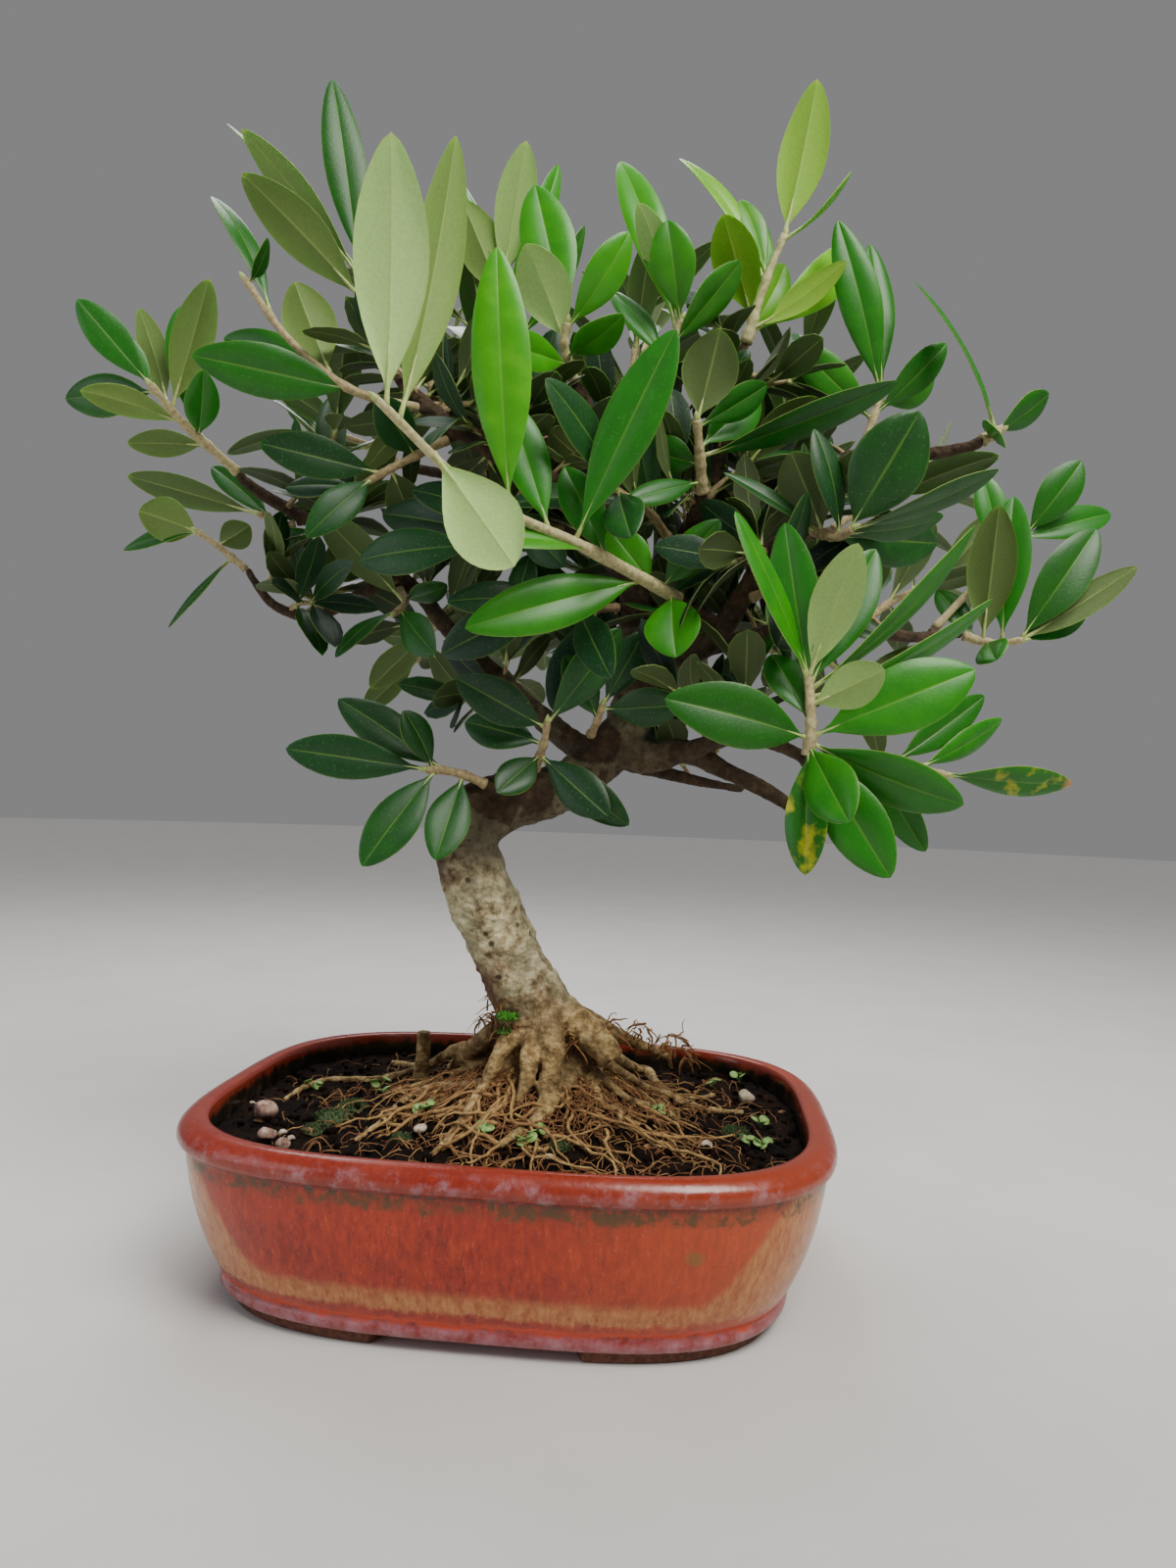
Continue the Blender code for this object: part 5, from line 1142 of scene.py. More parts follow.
def grown(bm, guides, depth=1.0):
    """Pushes the skin in and out like bark, and notes on each point its limb's thickness and whether it is a root."""
    near = kdtree.KDTree(len(guides))
    for i, (point, _, _) in enumerate(guides):
        near.insert(point, i)
    near.balance()
    thickness = bm.verts.layers.float.new("thickness")
    root = bm.verts.layers.float.new("root")
    relief = bm.verts.layers.float.new("relief")
    bm.normal_update()
    for v in bm.verts:
        p = v.co / MM
        found = near.find_n(p, 2)
        share = found[1][2] / max(found[0][2] + found[1][2], 1e-6)
        first, second = guides[found[0][1]], guides[found[1][1]]
        v[thickness] = first[1] * share + second[1] * (1 - share)
        v[root] = first[2] * share + second[2] * (1 - share)
        size = min(v[thickness], 10)
        lump = noise.noise(p / 11.0) * 0.10 + noise.noise(p / 4.5) * 0.09
        flake = noise.noise(p / 1.9) * 0.07
        v[relief] = (lump + flake) * 8
        v.co += v.normal * (lump + flake) * size * depth * MM
    return bm


# %% Trunk and boughs
guides = []
shapes = []
path, sizes = trunk_limb(110)
shapes.append(tube(path, sizes, 26))
guides += [(p, size, 0.0) for p, size in zip(path, sizes)]
for rows in BOUGHS.values():
    path, sizes = drawn_limb(rows, 9 * len(rows))
    shapes.append(tube(path, sizes, 14))
    guides += [(p, size, 0.0) for p, size in zip(path, sizes)]
# A healed knob stands out of the trunk's right side, under the bend.
knob = bmesh.new()
bmesh.ops.create_icosphere(knob, subdivisions=3, radius=4.6 * MM)
bmesh.ops.translate(knob, vec=metres(drawn(-26.5, -42, -3)), verts=knob.verts)
shapes.append(knob)
guides.append((drawn(-26.5, -42, -3), 8.0, 0.0))
spur_paths = []
for path, radii in spurs:
    bent = smooth_path([Vector((*p, r)) for p, r in zip(path, radii)], 12)
    spur_paths.append(([p.to_3d() for p in bent], [p.w for p in bent]))
    shapes.append(tube(*spur_paths[-1], 10))
    guides += [(p.to_3d(), p.w, 0.0) for p in bent]
print(len(shapes), "limbs laid")

# %% [markdown]
# ## Bared roots
# The tree's roots were bared over the years. Thick ones flare from the trunk, arch over the mound and dive
# into the soil, and thin ones wander between them. A drawn root's points lie where the line of sight meets
# the soil, and a few more leave at the back, where the front view doesn't show.

# %% Paths of the surface roots
def drawn_root(points):
    """A surface root's path: from the trunk, or from another root, along the soil under its drawn points."""
    made = []
    for right, up, *back in points:
        if back:
            made.append(drawn(right, up, back[0]))
        else:
            sight = (drawn(right, up, back_mm) for back_mm in range(-90, 100))
            met = next((p for p in sight if p.z < soil_height(p.x, p.y)), None)
            if met and inside_pot(met):
                made.append(met)
    return made


def inside_pot(point):
    """Whether a root's point is clear of the pot's wall."""
    x = abs(point.x) / (RIM_HALF_LENGTH - ROOT_MARGIN)
    y = abs(point.y) / (RIM_HALF_WIDTH - ROOT_MARGIN)
    return x**SQUARENESS + y**SQUARENESS < 1


def back_root(bearing, reach):
    """A surface root out of the back of the trunk's foot, down the mound and along the soil."""
    heading = math.radians(bearing)
    made = []
    for share in (0.0, 0.25, 0.5, 0.75, 1.0):
        away = 6 + reach * share
        angle = heading + 0.16 * math.sin(5.0 * share + bearing)
        x = TRUNK_FOOT[0] + away * math.cos(angle)
        y = TRUNK_FOOT[1] + away * math.sin(angle)
        made.append(Vector((x, y, soil_height(x, y))))
    return made


def laid(points, thick, thin, count=40):
    """A root's path and radii: it lies on the soil, a third sunk, and meanders a little."""
    path = smooth_path(points, count)
    sizes = []
    for i, point in enumerate(path):
        share = i / (count - 1)
        size = thick + (thin - thick) * share
        size = max(size * 1.12, 1.0) * (1 + 0.16 * noise.noise(point / 3.0))
        sway = 0.5 * min(share * 4, 1)
        point.x += sway * noise.noise(point / 5.0)
        point.y += sway * noise.noise(point / 5.0 + Vector((9, 0, 0)))
        point.z = max(point.z, soil_height(point.x, point.y) + 0.35 * size + 0.4)
        sizes.append(size)
    return path, sizes


# %% Thick and thin surface roots
root_rows = [(drawn_root(points), thick, thin) for thick, thin, points in ROOTS]
root_rows += [(back_root(bearing, reach), size, size / 2) for bearing, reach, size in BACK_ROOTS]
for points, thick, thin in root_rows:
    path, sizes = laid(points, thick, thin)
    shapes.append(tube(path, sizes, 12))
    guides += [(p, size, min(1.0, i / 16)) for i, (p, size) in enumerate(zip(path, sizes))]
path, sizes = drawn_limb(ROOT_STUMP, 16)
shapes.append(tube(path, sizes, 14))
guides += [(p, size, 1.0) for p, size in zip(path, sizes)]
piece(grown(skinned(shapes, 0.9), guides), "trunk_boughs_and_roots", ["trunk_and_roots"], [bark])

# %% [markdown]
# ## Leaf finish
# An olive leaf is leathery. Its upper face has a wax that shines, bright green in its first year and deep
# blue-green later, when fine pale scales and dust dull it. The under face is matt and pale grey-green with
# down. The midrib and the margin are paler. Each leaf keeps a number for its age and a tone of its own, and
# its pattern runs on its own length and width, as its veins do. The age number also carries painted shade:
# leaves that lie in shade are given higher numbers, which darken both faces.

# %% Leaf materials
def leaf_pattern(tree):
    """Along and across the leaf from -1 to 1, the midrib's and margin's masks, and the veins."""
    flat = add(tree, "SeparateXYZ", {"Vector": (add(tree, "UVMap", uv_map="UVMap"), "UV")})
    across = add(tree, "Math", {0: (flat, "Y"), 1: 2.0, 2: -1.0}, operation="MULTIPLY_ADD")
    away = add(tree, "Math", {0: across}, operation="ABSOLUTE")
    rib = add(tree, "MapRange", {"Value": away, "From Min": 0.012, "From Max": 0.06, "To Min": 1.0, "To Max": 0.0})
    edge = add(tree, "MapRange", {"Value": away, "From Min": 0.93, "From Max": 0.99})
    slant = add(tree, "Math", {0: away, 1: -0.16, 2: (flat, "X")}, operation="MULTIPLY_ADD")
    rows = add(tree, "Math", {0: slant, 1: 75.0}, operation="MULTIPLY")
    veins = add(tree, "Math", {0: add(tree, "Math", {0: rows}, operation="SINE")}, operation="ABSOLUTE")
    return flat, rib, edge, veins


leaf_top, tree, shader = finish("waxy_leaf_upper_face", Roughness=0.36, IOR=1.45, Specular_IOR_Level=0.42,
                                Subsurface_Weight=0.12, Subsurface_Radius=(0.4, 1.0, 0.05), Subsurface_Scale=0.0012)
flat, rib, edge, veins = leaf_pattern(tree)
place = (add(tree, "TexCoord"), "Object")
cloud = add(tree, "TexNoise", {"Vector": place, "Scale": marks(7), "Detail": 4})
speck = add(tree, "TexNoise", {"Vector": place, "Scale": marks(0.7), "Detail": 2})
age = attribute(tree, "age")
# The age number turns the upper face from young yellow-green to old deep green: partly real age, partly painted shade
# on shoots that lie in shade.
mixed_age_and_shade = add(tree, "Math", {0: cloud, 1: 0.22, 2: add(tree, "Math", {0: age, 1: 0.11}, operation="SUBTRACT")},
                operation="MULTIPLY_ADD")
green = add(tree, "ValToRGB", {"Fac": mixed_age_and_shade}, stops=[
    (0.0, linear("78B81C")), (0.20, linear("3E9208")), (0.42, linear("1C6E04")), (0.75, linear("0C420E")),
    (1.0, linear("08281A"))])
hue = add(tree, "HueSaturation", {"Color": green, "Value": add(tree, "MapRange", {
    "Value": attribute(tree, "tone"), "To Min": 0.7, "To Max": 1.2})})
scales = add(tree, "ValToRGB", {"Fac": speck}, stops=[(0.60, (0, 0, 0, 1)), (0.76, (0.16, 0.16, 0.16, 1))])
dusty = add(tree, "Math", {0: scales, 1: age}, operation="MULTIPLY")
speckled = add(tree, "MixRGB", {"Fac": dusty, "Color1": hue, "Color2": linear("A8B8A0")})
rib_share = add(tree, "Math", {0: rib, 1: 0.26}, operation="MULTIPLY")
ribbed = add(tree, "MixRGB", {"Fac": rib_share, "Color1": speckled, "Color2": linear("86B23C")})
edge_share = add(tree, "Math", {0: edge, 1: 0.16}, operation="MULTIPLY")
edged = add(tree, "MixRGB", {"Fac": edge_share, "Color1": ribbed, "Color2": linear("8CA83A")})
# A blighted leaf has yellow spots all along and a dry brown tip.
ill = add(tree, "MapRange", {"Value": attribute(tree, "blight"), "From Min": 0.15, "From Max": 0.5})
sores = add(tree, "TexNoise", {"Vector": place, "Scale": marks(5), "Detail": 3})
spots = add(tree, "ValToRGB", {"Fac": sores}, stops=[(0.50, (0, 0, 0, 1)), (0.66, (0.8, 0.8, 0.8, 1))])
spotted = add(tree, "MixRGB", {"Fac": add(tree, "Math", {0: ill, 1: spots}, operation="MULTIPLY"), "Color1": edged,
                               "Color2": linear("B8B418")})
dry = add(tree, "MapRange", {"Value": attribute(tree, "blight"), "From Min": 0.91, "From Max": 0.96})
tipped = add(tree, "MixRGB", {"Fac": dry, "Color1": spotted, "Color2": linear("A87A50")})
tree.links.new(tipped.outputs[0], shader.inputs["Base Color"])
pores = add(tree, "Math", {0: speck, 1: 0.5, 2: add(tree, "Math", {0: cloud, 1: 0.6}, operation="MULTIPLY")},
            operation="MULTIPLY_ADD")
vein_relief = add(tree, "Math", {0: veins, 1: 0.05, 2: pores}, operation="MULTIPLY_ADD")
groove = add(tree, "Math", {0: vein_relief, 1: rib}, operation="SUBTRACT")
bump = add(tree, "Bump", {"Height": groove, "Strength": 0.3, "Distance": 0.0003})
tree.links.new(bump.outputs[0], shader.inputs["Normal"])
dull = add(tree, "MapRange", {"Value": mixed_age_and_shade, "To Min": 0.32, "To Max": 0.46})
tree.links.new(dull.outputs[0], shader.inputs["Roughness"])

leaf_under, tree, shader = finish("downy_leaf_under_face", Roughness=0.62, IOR=1.4,
                                  Subsurface_Weight=0.2, Subsurface_Radius=(0.5, 1.0, 0.1), Subsurface_Scale=0.0012)
flat, rib, edge, veins = leaf_pattern(tree)
place = (add(tree, "TexCoord"), "Object")
down = add(tree, "TexNoise", {"Vector": place, "Scale": marks(1.0), "Detail": 6})
age = attribute(tree, "age")
# Higher numbers darken the under face: painted shade on leaves in the crown's shade, as a real under face stays pale.
# The lowest numbers give a strong yellow-green, partly young colour and partly painted light shining through the leaf.
pale = add(tree, "ValToRGB", {"Fac": age}, stops=[
    (0.0, linear("6E9C10")), (0.14, linear("8AB438")), (0.24, linear("AED080")), (0.42, linear("7C9A48")),
    (0.60, linear("566A34")), (1.0, linear("39462A"))])
soft = add(tree, "ValToRGB", {"Fac": down}, stops=[(0.3, linear("EDEDED")), (0.7, linear("FFFFFF"))])
toned = add(tree, "MixRGB", {"Fac": 1.0, "Color1": pale, "Color2": soft}, blend_type="MULTIPLY")
rib_share = add(tree, "Math", {0: rib, 1: 0.3}, operation="MULTIPLY")
ribbed = add(tree, "MixRGB", {"Fac": rib_share, "Color1": toned, "Color2": linear("B4CC6C")})
vein_share = add(tree, "Math", {0: veins, 1: 0.03}, operation="MULTIPLY")
veined = add(tree, "MixRGB", {"Fac": vein_share, "Color1": ribbed, "Color2": linear("5E7040")})
edge_share = add(tree, "Math", {0: edge, 1: 0.2}, operation="MULTIPLY")
edged = add(tree, "MixRGB", {"Fac": edge_share, "Color1": veined, "Color2": linear("9CB848")})
tree.links.new(edged.outputs[0], shader.inputs["Base Color"])
raised = add(tree, "Math", {0: veins, 1: 0.08, 2: rib}, operation="MULTIPLY_ADD")
bump = add(tree, "Bump", {"Height": raised, "Strength": 0.4, "Distance": 0.0004})
tree.links.new(bump.outputs[0], shader.inputs["Normal"])

# %% Young twig and leaf stalk
shoot_bark, tree, shader = finish("young_olive_twig", Roughness=0.7)
place = (add(tree, "TexCoord"), "Object")
fibre = add(tree, "TexNoise", {"Vector": place, "Scale": marks(1.3), "Detail": 6})
cream = add(tree, "ValToRGB", {"Fac": fibre}, stops=[(0.3, linear("9A9460")), (0.7, linear("C9C493"))])
brown = add(tree, "ValToRGB", {"Fac": fibre}, stops=[(0.3, linear("6A5236")), (0.7, linear("A98F66"))])
# The number turns the twig from cream to brown: its age, and painted shade on shoots that lie in shade.
tone = add(tree, "MixRGB", {"Fac": attribute(tree, "age"), "Color1": cream, "Color2": brown})
tree.links.new(tone.outputs[0], shader.inputs["Base Color"])
bump = add(tree, "Bump", {"Height": fibre, "Strength": 0.5, "Distance": 0.0004})
tree.links.new(bump.outputs[0], shader.inputs["Normal"])

stalk_green, tree, shader = finish("leaf_stalk", Roughness=0.5)
fibre = add(tree, "TexNoise", {"Vector": (add(tree, "TexCoord"), "Object"), "Scale": marks(1.5), "Detail": 3})
tone = add(tree, "ValToRGB", {"Fac": fibre}, stops=[(0.3, linear("8FA552")), (0.7, linear("BCC57E"))])
tree.links.new(tone.outputs[0], shader.inputs["Base Color"])

# %% [markdown]
# ## The leaf pattern
# All the leaves are one pattern, bent. A flat grid gives the upper face, a copy turned over gives the under
# face, and a bridge closes the rim. The grid's rows are closer at the stalk and the tip, where the outline
# turns, and beside the midrib, which is a groove above and a rib below.

# %% A flat leaf
STATIONS = (0, .04, .09, .13, .18, .25, .34, .43, .52, .61, .69, .76, .83, .89, .94, .975, 1.0)
COLUMNS = (-1, -.90, -.60, -.28, -.08, 0, .08, .28, .60, .90, 1)


def flat_leaf(name, stations, columns):
    """A flat leaf from 0 to 1 along and -1 to 1 across, its upper face at height 1 and its under face at -1."""
    pattern = bmesh.new()
    bmesh.ops.create_grid(pattern, x_segments=len(stations) - 1, y_segments=len(columns) - 1, size=1)
    for v in pattern.verts:
        along = stations[round((v.co.x + 1) / 2 * (len(stations) - 1))]
        across = columns[round((v.co.y + 1) / 2 * (len(columns) - 1))]
        v.co = Vector((along, across, 1))
    copied = bmesh.ops.duplicate(pattern, geom=pattern.verts[:] + pattern.edges[:] + pattern.faces[:])["geom"]
    under = [g for g in copied if isinstance(g, bmesh.types.BMFace)]
    for v in {v for f in under for v in f.verts}:
        v.co.z = -1
    bmesh.ops.reverse_faces(pattern, faces=under)
    rim = set(bmesh.ops.bridge_loops(pattern, edges=[e for e in pattern.edges if e.is_boundary])["faces"])
    for f in [*under, *rim]:
        f.material_index = 1
    for e in {e for f in rim for e in f.edges}:
        e.smooth = all(f in rim for f in e.link_faces)
    made = bpy.data.meshes.new(name)
    pattern.to_mesh(made)
    pattern.free()
    print(name, len(made.polygons), "faces")
    return made


LEAF_PATTERN = flat_leaf("leaf_pattern", STATIONS, COLUMNS)
INNER_PATTERN = flat_leaf("inner_leaf_pattern", (0, .09, .2, .36, .55, .74, .9, 1.0), (-1, -.5, 0, .5, 1))

# %% [markdown]
# ## Bending a leaf
# A leaf is carried from the flat pattern to its place: along its sagging midline, out to its own width, up
# from the midrib in a shallow fold, down again at the margin, and with a slow wave that differs on each leaf.

# %% One leaf
def olive_width(share, width, belly):
    """Half a finer blade's width: the solid's up to its widest place, and blunter from there to the tip."""
    run = max(0.0, (share - STALK_SHARE) / (1 - STALK_SHARE)) ** belly
    if run < 0.5:
        return blade_width(share, width, belly)
    return width / 2 * max(0.0, math.sin(math.pi * run)) ** 0.64


def add_leaf(bm, leaf, draw, age, blight=0.0, flat=LEAF_PATTERN):
    """Bends one copy of the pattern on to a leaf's midline, and gives it its stalk."""
    base, tip, normal, width, belly, sag = leaf
    chord = tip - base
    fold = draw.uniform(0.10, 0.30)
    curl = draw.uniform(0.10, 0.26)
    wave = draw.uniform(0.02, 0.07)
    phase = draw.uniform(0, 6)
    twist = draw.uniform(-0.16, 0.16)
    tone = draw.random()
    uv = bm.loops.layers.uv.get("UVMap") or bm.loops.layers.uv.new("UVMap")
    first_vert, first_face = len(bm.verts), len(bm.faces)
    bm.from_mesh(flat)
    bm.verts.ensure_lookup_table()
    bm.faces.ensure_lookup_table()
    layers = [bm.verts.layers.float[key] for key in ("age", "tone", "blight")]
    for f in bm.faces[first_face:]:
        f.material_index += 1
        for loop in f.loops:
            loop[uv].uv = (loop.vert.co.x, loop.vert.co.y * 0.5 + 0.5)
    for v in bm.verts[first_vert:]:
        share, across, face = v.co
        centre = base + chord * share + normal * (sag * 4 * share * (1 - share))
        along = (chord + normal * (sag * 4 * (1 - 2 * share))).normalized()
        top = (normal - along * normal.dot(along)).normalized()
        half = olive_width(share, width, belly)
        if share < STALK_SHARE:
            half *= 0.6
        end = min(1.0, (1 - share) * 14)
        out = across * half
        lift = fold * abs(out) - curl * half * across**4
        lift += wave * half * across**2 * math.sin(phase + 8 * share + 2 * across)
        lift += twist * out * (share - 0.3)
        rib = max(0.0, 1 - abs(across) / 0.15)
        wall = 0.2 * (1 - 0.4 * abs(across)) if face > 0 else -0.2 * (1 - 0.4 * abs(across)) - 0.35 * rib * (1 - share)
        if face > 0:
            wall -= 0.10 * rib
        v.co = (centre - along.cross(top) * out + top * (lift + wall * end)) * MM
        values = (age, tone, blight * share)
        for layer, value in zip(layers, values):
            v[layer] = value
    stalk_path = []
    for share in (0.0, 0.05, 0.09, 0.13, 0.19, 0.26):
        stalk_path.append(base + chord * share + normal * (sag * 4 * share * (1 - share) - 0.25 - 0.2 * share))
    sizes = [0.95, 0.72, 0.62, 0.55, 0.42, 0.18]
    gather(bm, tube(stalk_path, sizes, 7), 3, age=age, tone=tone, blight=0.0)


# %% [markdown]
# ## The leafy shoots
# Every shoot is one piece: its twig with a slight knee and a ring at each pair of leaves, its leaves, and a
# small bud at its end. A shoot's age goes from 0, this spring's, to 1, the oldest leaves inside the crown.
# The same number carries painted shade: shoots that lie in shade are given higher numbers, and so darker
# leaves and browner twigs.

# %% Ages, painted shade and shoots
# Each shoot's number: its age, raised as painted shade where the shoot lies in shade.
AGES_AND_SHADE = {
    "whip": 0.28, "rosette": 0.42, "rosette_side": 0.48, "right_tip": 0.5, "right_upper": 0.5, "dull_leaf": 0.72,
    "twig_folded": 0.55, "tall_tip": 0.08, "crown_front": 0.36, "crown_mid": 0.36, "crown_left": 0.4,
    "left_crown": 0.5, "left_twig": 0.6, "left_tip": 0.5, "low_left_tip": 0.6, "left_hanging": 0.65,
    "left_under": 0.7, "low_shoot": 0.74, "trunk_shoot": 0.8, "trunk_shoot_right": 0.76, "hanging_dark": 0.9,
    "under_whip": 0.85, "left_mid": 0.75, "cut_right": 0.45, "right_spears": 0.4,
}
FILLER_AGE_AND_SHADE = 0.72
# Two leaves are blighted, each by its shoot and its place in it.
BLIGHTED = {("rosette_side", 0): 1.0, ("rosette", 5): 0.92}
# The whip's leaves differ most: their ages, raised for painted shade on the shaded ones, in the order in which they are
# drawn.
WHIP_AGES_AND_SHADE = (0.26, 0.42, 0.22, 0.20, 0.42, 0.50, 0.22, 0.45, 0.36, 0.30, 0.42, 0.36)


def leafy_shoot(name, shoot):
    age = AGES_AND_SHADE.get(name, FILLER_AGE_AND_SHADE)
    path = smooth_path(shoot["stem"], 26)
    thick, middle, thin = shoot["radii"]
    knots = [point_along(shoot["stem"], 0.02)] + [leaf[0] for leaf in shoot["leaves"]]
    sizes = []
    for i, point in enumerate(path):
        share = i / (len(path) - 1)
        size = thick + (thin - thick) * share
        near = min((point - knot).length for knot in knots)
        sizes.append(size * (1 + 0.28 * math.exp(-((near / 1.2) ** 2)) + 0.08 * noise.noise(point / 2.0)))
    bm = bmesh.new()
    gather(bm, tube(path, sizes, 9), 0, age=age, tone=0.5, blight=0.0)
    heading = (path[-1] - path[-2]).normalized()
    bud = [path[-1] - heading * 0.3, path[-1] + heading * 0.8, path[-1] + heading * 1.9, path[-1] + heading * 2.8]
    gather(bm, tube(bud, [thin * 0.8, thin * 0.9, thin * 0.6, 0.12], 7), 3, age=age, tone=0.5, blight=0.0)
    for i, leaf in enumerate(shoot["leaves"]):
        draw = random.Random(f"{name} look {i}")
        own_age_and_shade = WHIP_AGES_AND_SHADE[i] if name == "whip" else min(1.0, max(0.0, age + draw.uniform(-0.09, 0.09)))
        add_leaf(bm, leaf, draw, own_age_and_shade, BLIGHTED.get((name, i), 0.0))
    bmesh.ops.remove_doubles(bm, verts=bm.verts, dist=5e-6)
    piece(bm, "leafy_" + name, ["shoot_" + name], [shoot_bark, leaf_top, leaf_under, stalk_green])


for name, shoot in shoots.items():
    leafy_shoot(name, shoot)

# %% [markdown]
# ## Old leaves inside the crown
# Where twigs fork, deep in the crown, old small leaves stay in the shade and make its dark heart. The solids
# leave them out, and have room for few more blades. Short twigs start on the boughs at seeded places. Each leaf
# takes the first place where its blade is clear of the limbs, the shoots and the leaves set before it. The heart
# is an ellipsoid that holds each twig's end and each leaf's tip, so that the boughs under the crown stay bare.
# Some of these leaves still show outside the solids' outline.

# %% Inner shoots
INNER_SHOOTS = 110
CROWN_MIDDLE = Vector((6, 0, 254))
CROWN_REACH = Vector((122, 84, 84))


def in_crown(point):
    """Whether a point lies in the dense heart of the crown."""
    away = point - CROWN_MIDDLE
    return sum((away[axis] / CROWN_REACH[axis]) ** 2 for axis in range(3)) < 1


INNER_LEAF = (3, 29, 10.5)

taken = limb_tests + [tree for shoot in shoots.values() for tree in shoot["tested"]]
inner = bmesh.new()
twig_ends = 0
for number in range(1500):
    draw = random.Random(f"inner shoot {number}")
    path, radii, sides, _ = boughs[draw.randrange(2, len(boughs))]
    start = point_along(path, draw.uniform(0.2, 0.98))
    way = Vector((draw.uniform(-1, 1), draw.uniform(-0.6, 1), draw.uniform(-0.25, 1))).normalized()
    end = start + way * draw.uniform(14, 24)
    if not in_crown(end):
        continue
    stem = smooth_path([start, start.lerp(end, 0.5) + Vector((0, 0, 1.5)), end], 5)
    beyond = bvh(limb([point_along(stem, 0.45), *stem[3:]], [1.2, 1.0], 4))
    if touches(beyond, taken):
        continue
    leaves = []
    tests = []
    for index in range(2 * INNER_LEAF[0]):
        for leaf in filler_leaf_tries(f"inner {number}", index, INNER_LEAF, stem):
            whole = bvh(leaf_blade(leaf, TEST_LEVELS, 0.35))
            past_stalk = bvh(leaf_blade((leaf[0].lerp(leaf[1], 0.16), *leaf[1:]), TEST_LEVELS, 0.2))
            if in_crown(leaf[1]) and not touches(whole, taken) and not touches(past_stalk, tests):
                leaves.append(leaf)
                tests.append(past_stalk)
                break
    if len(leaves) < 3:
        continue
    taken += tests + [beyond]
    # The twigs and leaves of the heart get high numbers: partly their age, partly painted shade of the crown's dark
    # heart.
    gather(inner, tube(stem, [1.25, 1.1, 1.0, 0.9, 0.75], 6), 0, age=0.8, tone=0.4, blight=0.0)
    for leaf in leaves:
        add_leaf(inner, leaf, draw, draw.uniform(0.7, 1.0), flat=INNER_PATTERN)
    twig_ends += 1
    if twig_ends == INNER_SHOOTS:
        break
print(twig_ends, "inner shoots")
piece(inner, "inner_leaves", [], [shoot_bark, leaf_top, leaf_under, stalk_green])

# %% [markdown]
# ## Fine roots
# Between the thick roots lies a felt of fine ones, tan and red-brown. Their paths wander from the trunk's foot
# out over the soil, and some lift off it. Hair-fine ones hang in tangles from the root collar.

# %% Fine roots on the soil
fine, tree, shader = finish("fine_root_fibre", Roughness=0.9)
fibre = add(tree, "TexNoise", {"Vector": (add(tree, "TexCoord"), "Object"), "Scale": marks(2), "Detail": 4})
tan = add(tree, "ValToRGB", {"Fac": fibre}, stops=[(0.3, linear("7A5A32")), (0.7, linear("B8985E"))])
red = add(tree, "ValToRGB", {"Fac": fibre}, stops=[(0.3, linear("4A2412")), (0.7, linear("8E5430"))])
tone = add(tree, "MixRGB", {"Fac": attribute(tree, "red"), "Color1": tan, "Color2": red})
tree.links.new(tone.outputs[0], shader.inputs["Base Color"])


def wandering_root(draw, near, far, step, size, count, stray):
    """A root that starts near to far millimetres from the trunk's foot and wanders outwards over the soil."""
    heading = draw.uniform(0, math.tau)
    away = draw.uniform(near, far)
    x = TRUNK_FOOT[0] + away * math.cos(heading)
    y = TRUNK_FOOT[1] + away * math.sin(heading)
    heading += draw.uniform(-stray, stray)
    rise = draw.uniform(0.0, 3.2)
    path = []
    for k in range(count):
        if not in_pot(x, y, 13):
            break
        arch = rise * math.sin(math.pi * k / (count - 1))
        dip = 0.9 if k in (0, count - 1) else 0.0
        path.append(Vector((x, y, surface(x, y) + size * 0.4 + arch - dip)))
        heading += draw.uniform(-0.75, 0.75)
        x += step * math.cos(heading)
        y += step * math.sin(heading)
    return path


fibres = bmesh.new()
for i in range(2600):
    draw = random.Random(f"fine root {i}")
    if i < 110:
        size = draw.uniform(0.4, 0.9)
        path = wandering_root(draw, 9, 50, draw.uniform(2.2, 5.0), size, 10, 1.0)
        reddish, sides = draw.uniform(0.0, 0.5), 5
    else:
        size = draw.uniform(0.14, 0.3)
        path = wandering_root(draw, 8, draw.uniform(30, 100), draw.uniform(1.2, 2.6), size, 7, math.pi)
        reddish, sides = draw.uniform(0.35, 1.0), 4
    if len(path) > 3:
        sizes = [size * (1 - 0.55 * k / (len(path) - 1)) for k in range(len(path))]
        gather(fibres, tube(path, sizes, sides), 0, red=reddish)

# %% Tangles at the root collar
# Where the tangles start: right, up and back, and how many hairs each has.
TANGLES = [(-30, -72, -4, 26), (-34, -80, 0, 30), (-27, -84, -10, 18), (27, -88, 0, 22), (18, -84, 4, 18),
           (34, -92, 4, 16), (8, -84, -8, 10), (-6, -86, -12, 10)]
for number, (right, up, back, count) in enumerate(TANGLES):
    for k in range(count):
        draw = random.Random(f"tangle {number} {k}")
        point = drawn(right + draw.uniform(-3, 3), up + draw.uniform(-3, 3), back + draw.uniform(-4, 4))
        heading = Vector((draw.uniform(-1, 1), draw.uniform(-1, 1), draw.uniform(-0.9, 0.7)))
        path = []
        for _ in range(6):
            path.append(point.copy())
            heading = (heading + Vector((draw.uniform(-0.8, 0.8), draw.uniform(-0.8, 0.8), draw.uniform(-0.9, 0.4))))
            point = point + heading.normalized() * draw.uniform(1.0, 2.2)
            point.z = max(point.z, surface(point.x, point.y))
        size = draw.uniform(0.16, 0.42)
        gather(fibres, tube(path, [size, size, size * 0.9, size * 0.8, size * 0.6, size * 0.3], 4), 0,
               red=draw.uniform(0.2, 1.0))
piece(fibres, "fine_roots", [], [fine])

# %% [markdown]
# ## Pebbles and chips
# A few pebbles and chips of bark and clay lie on the soil. A pebble is a ball with its sides sliced flat at
# seeded angles, then softened, because a broken stone shows planes and a ball doesn't.

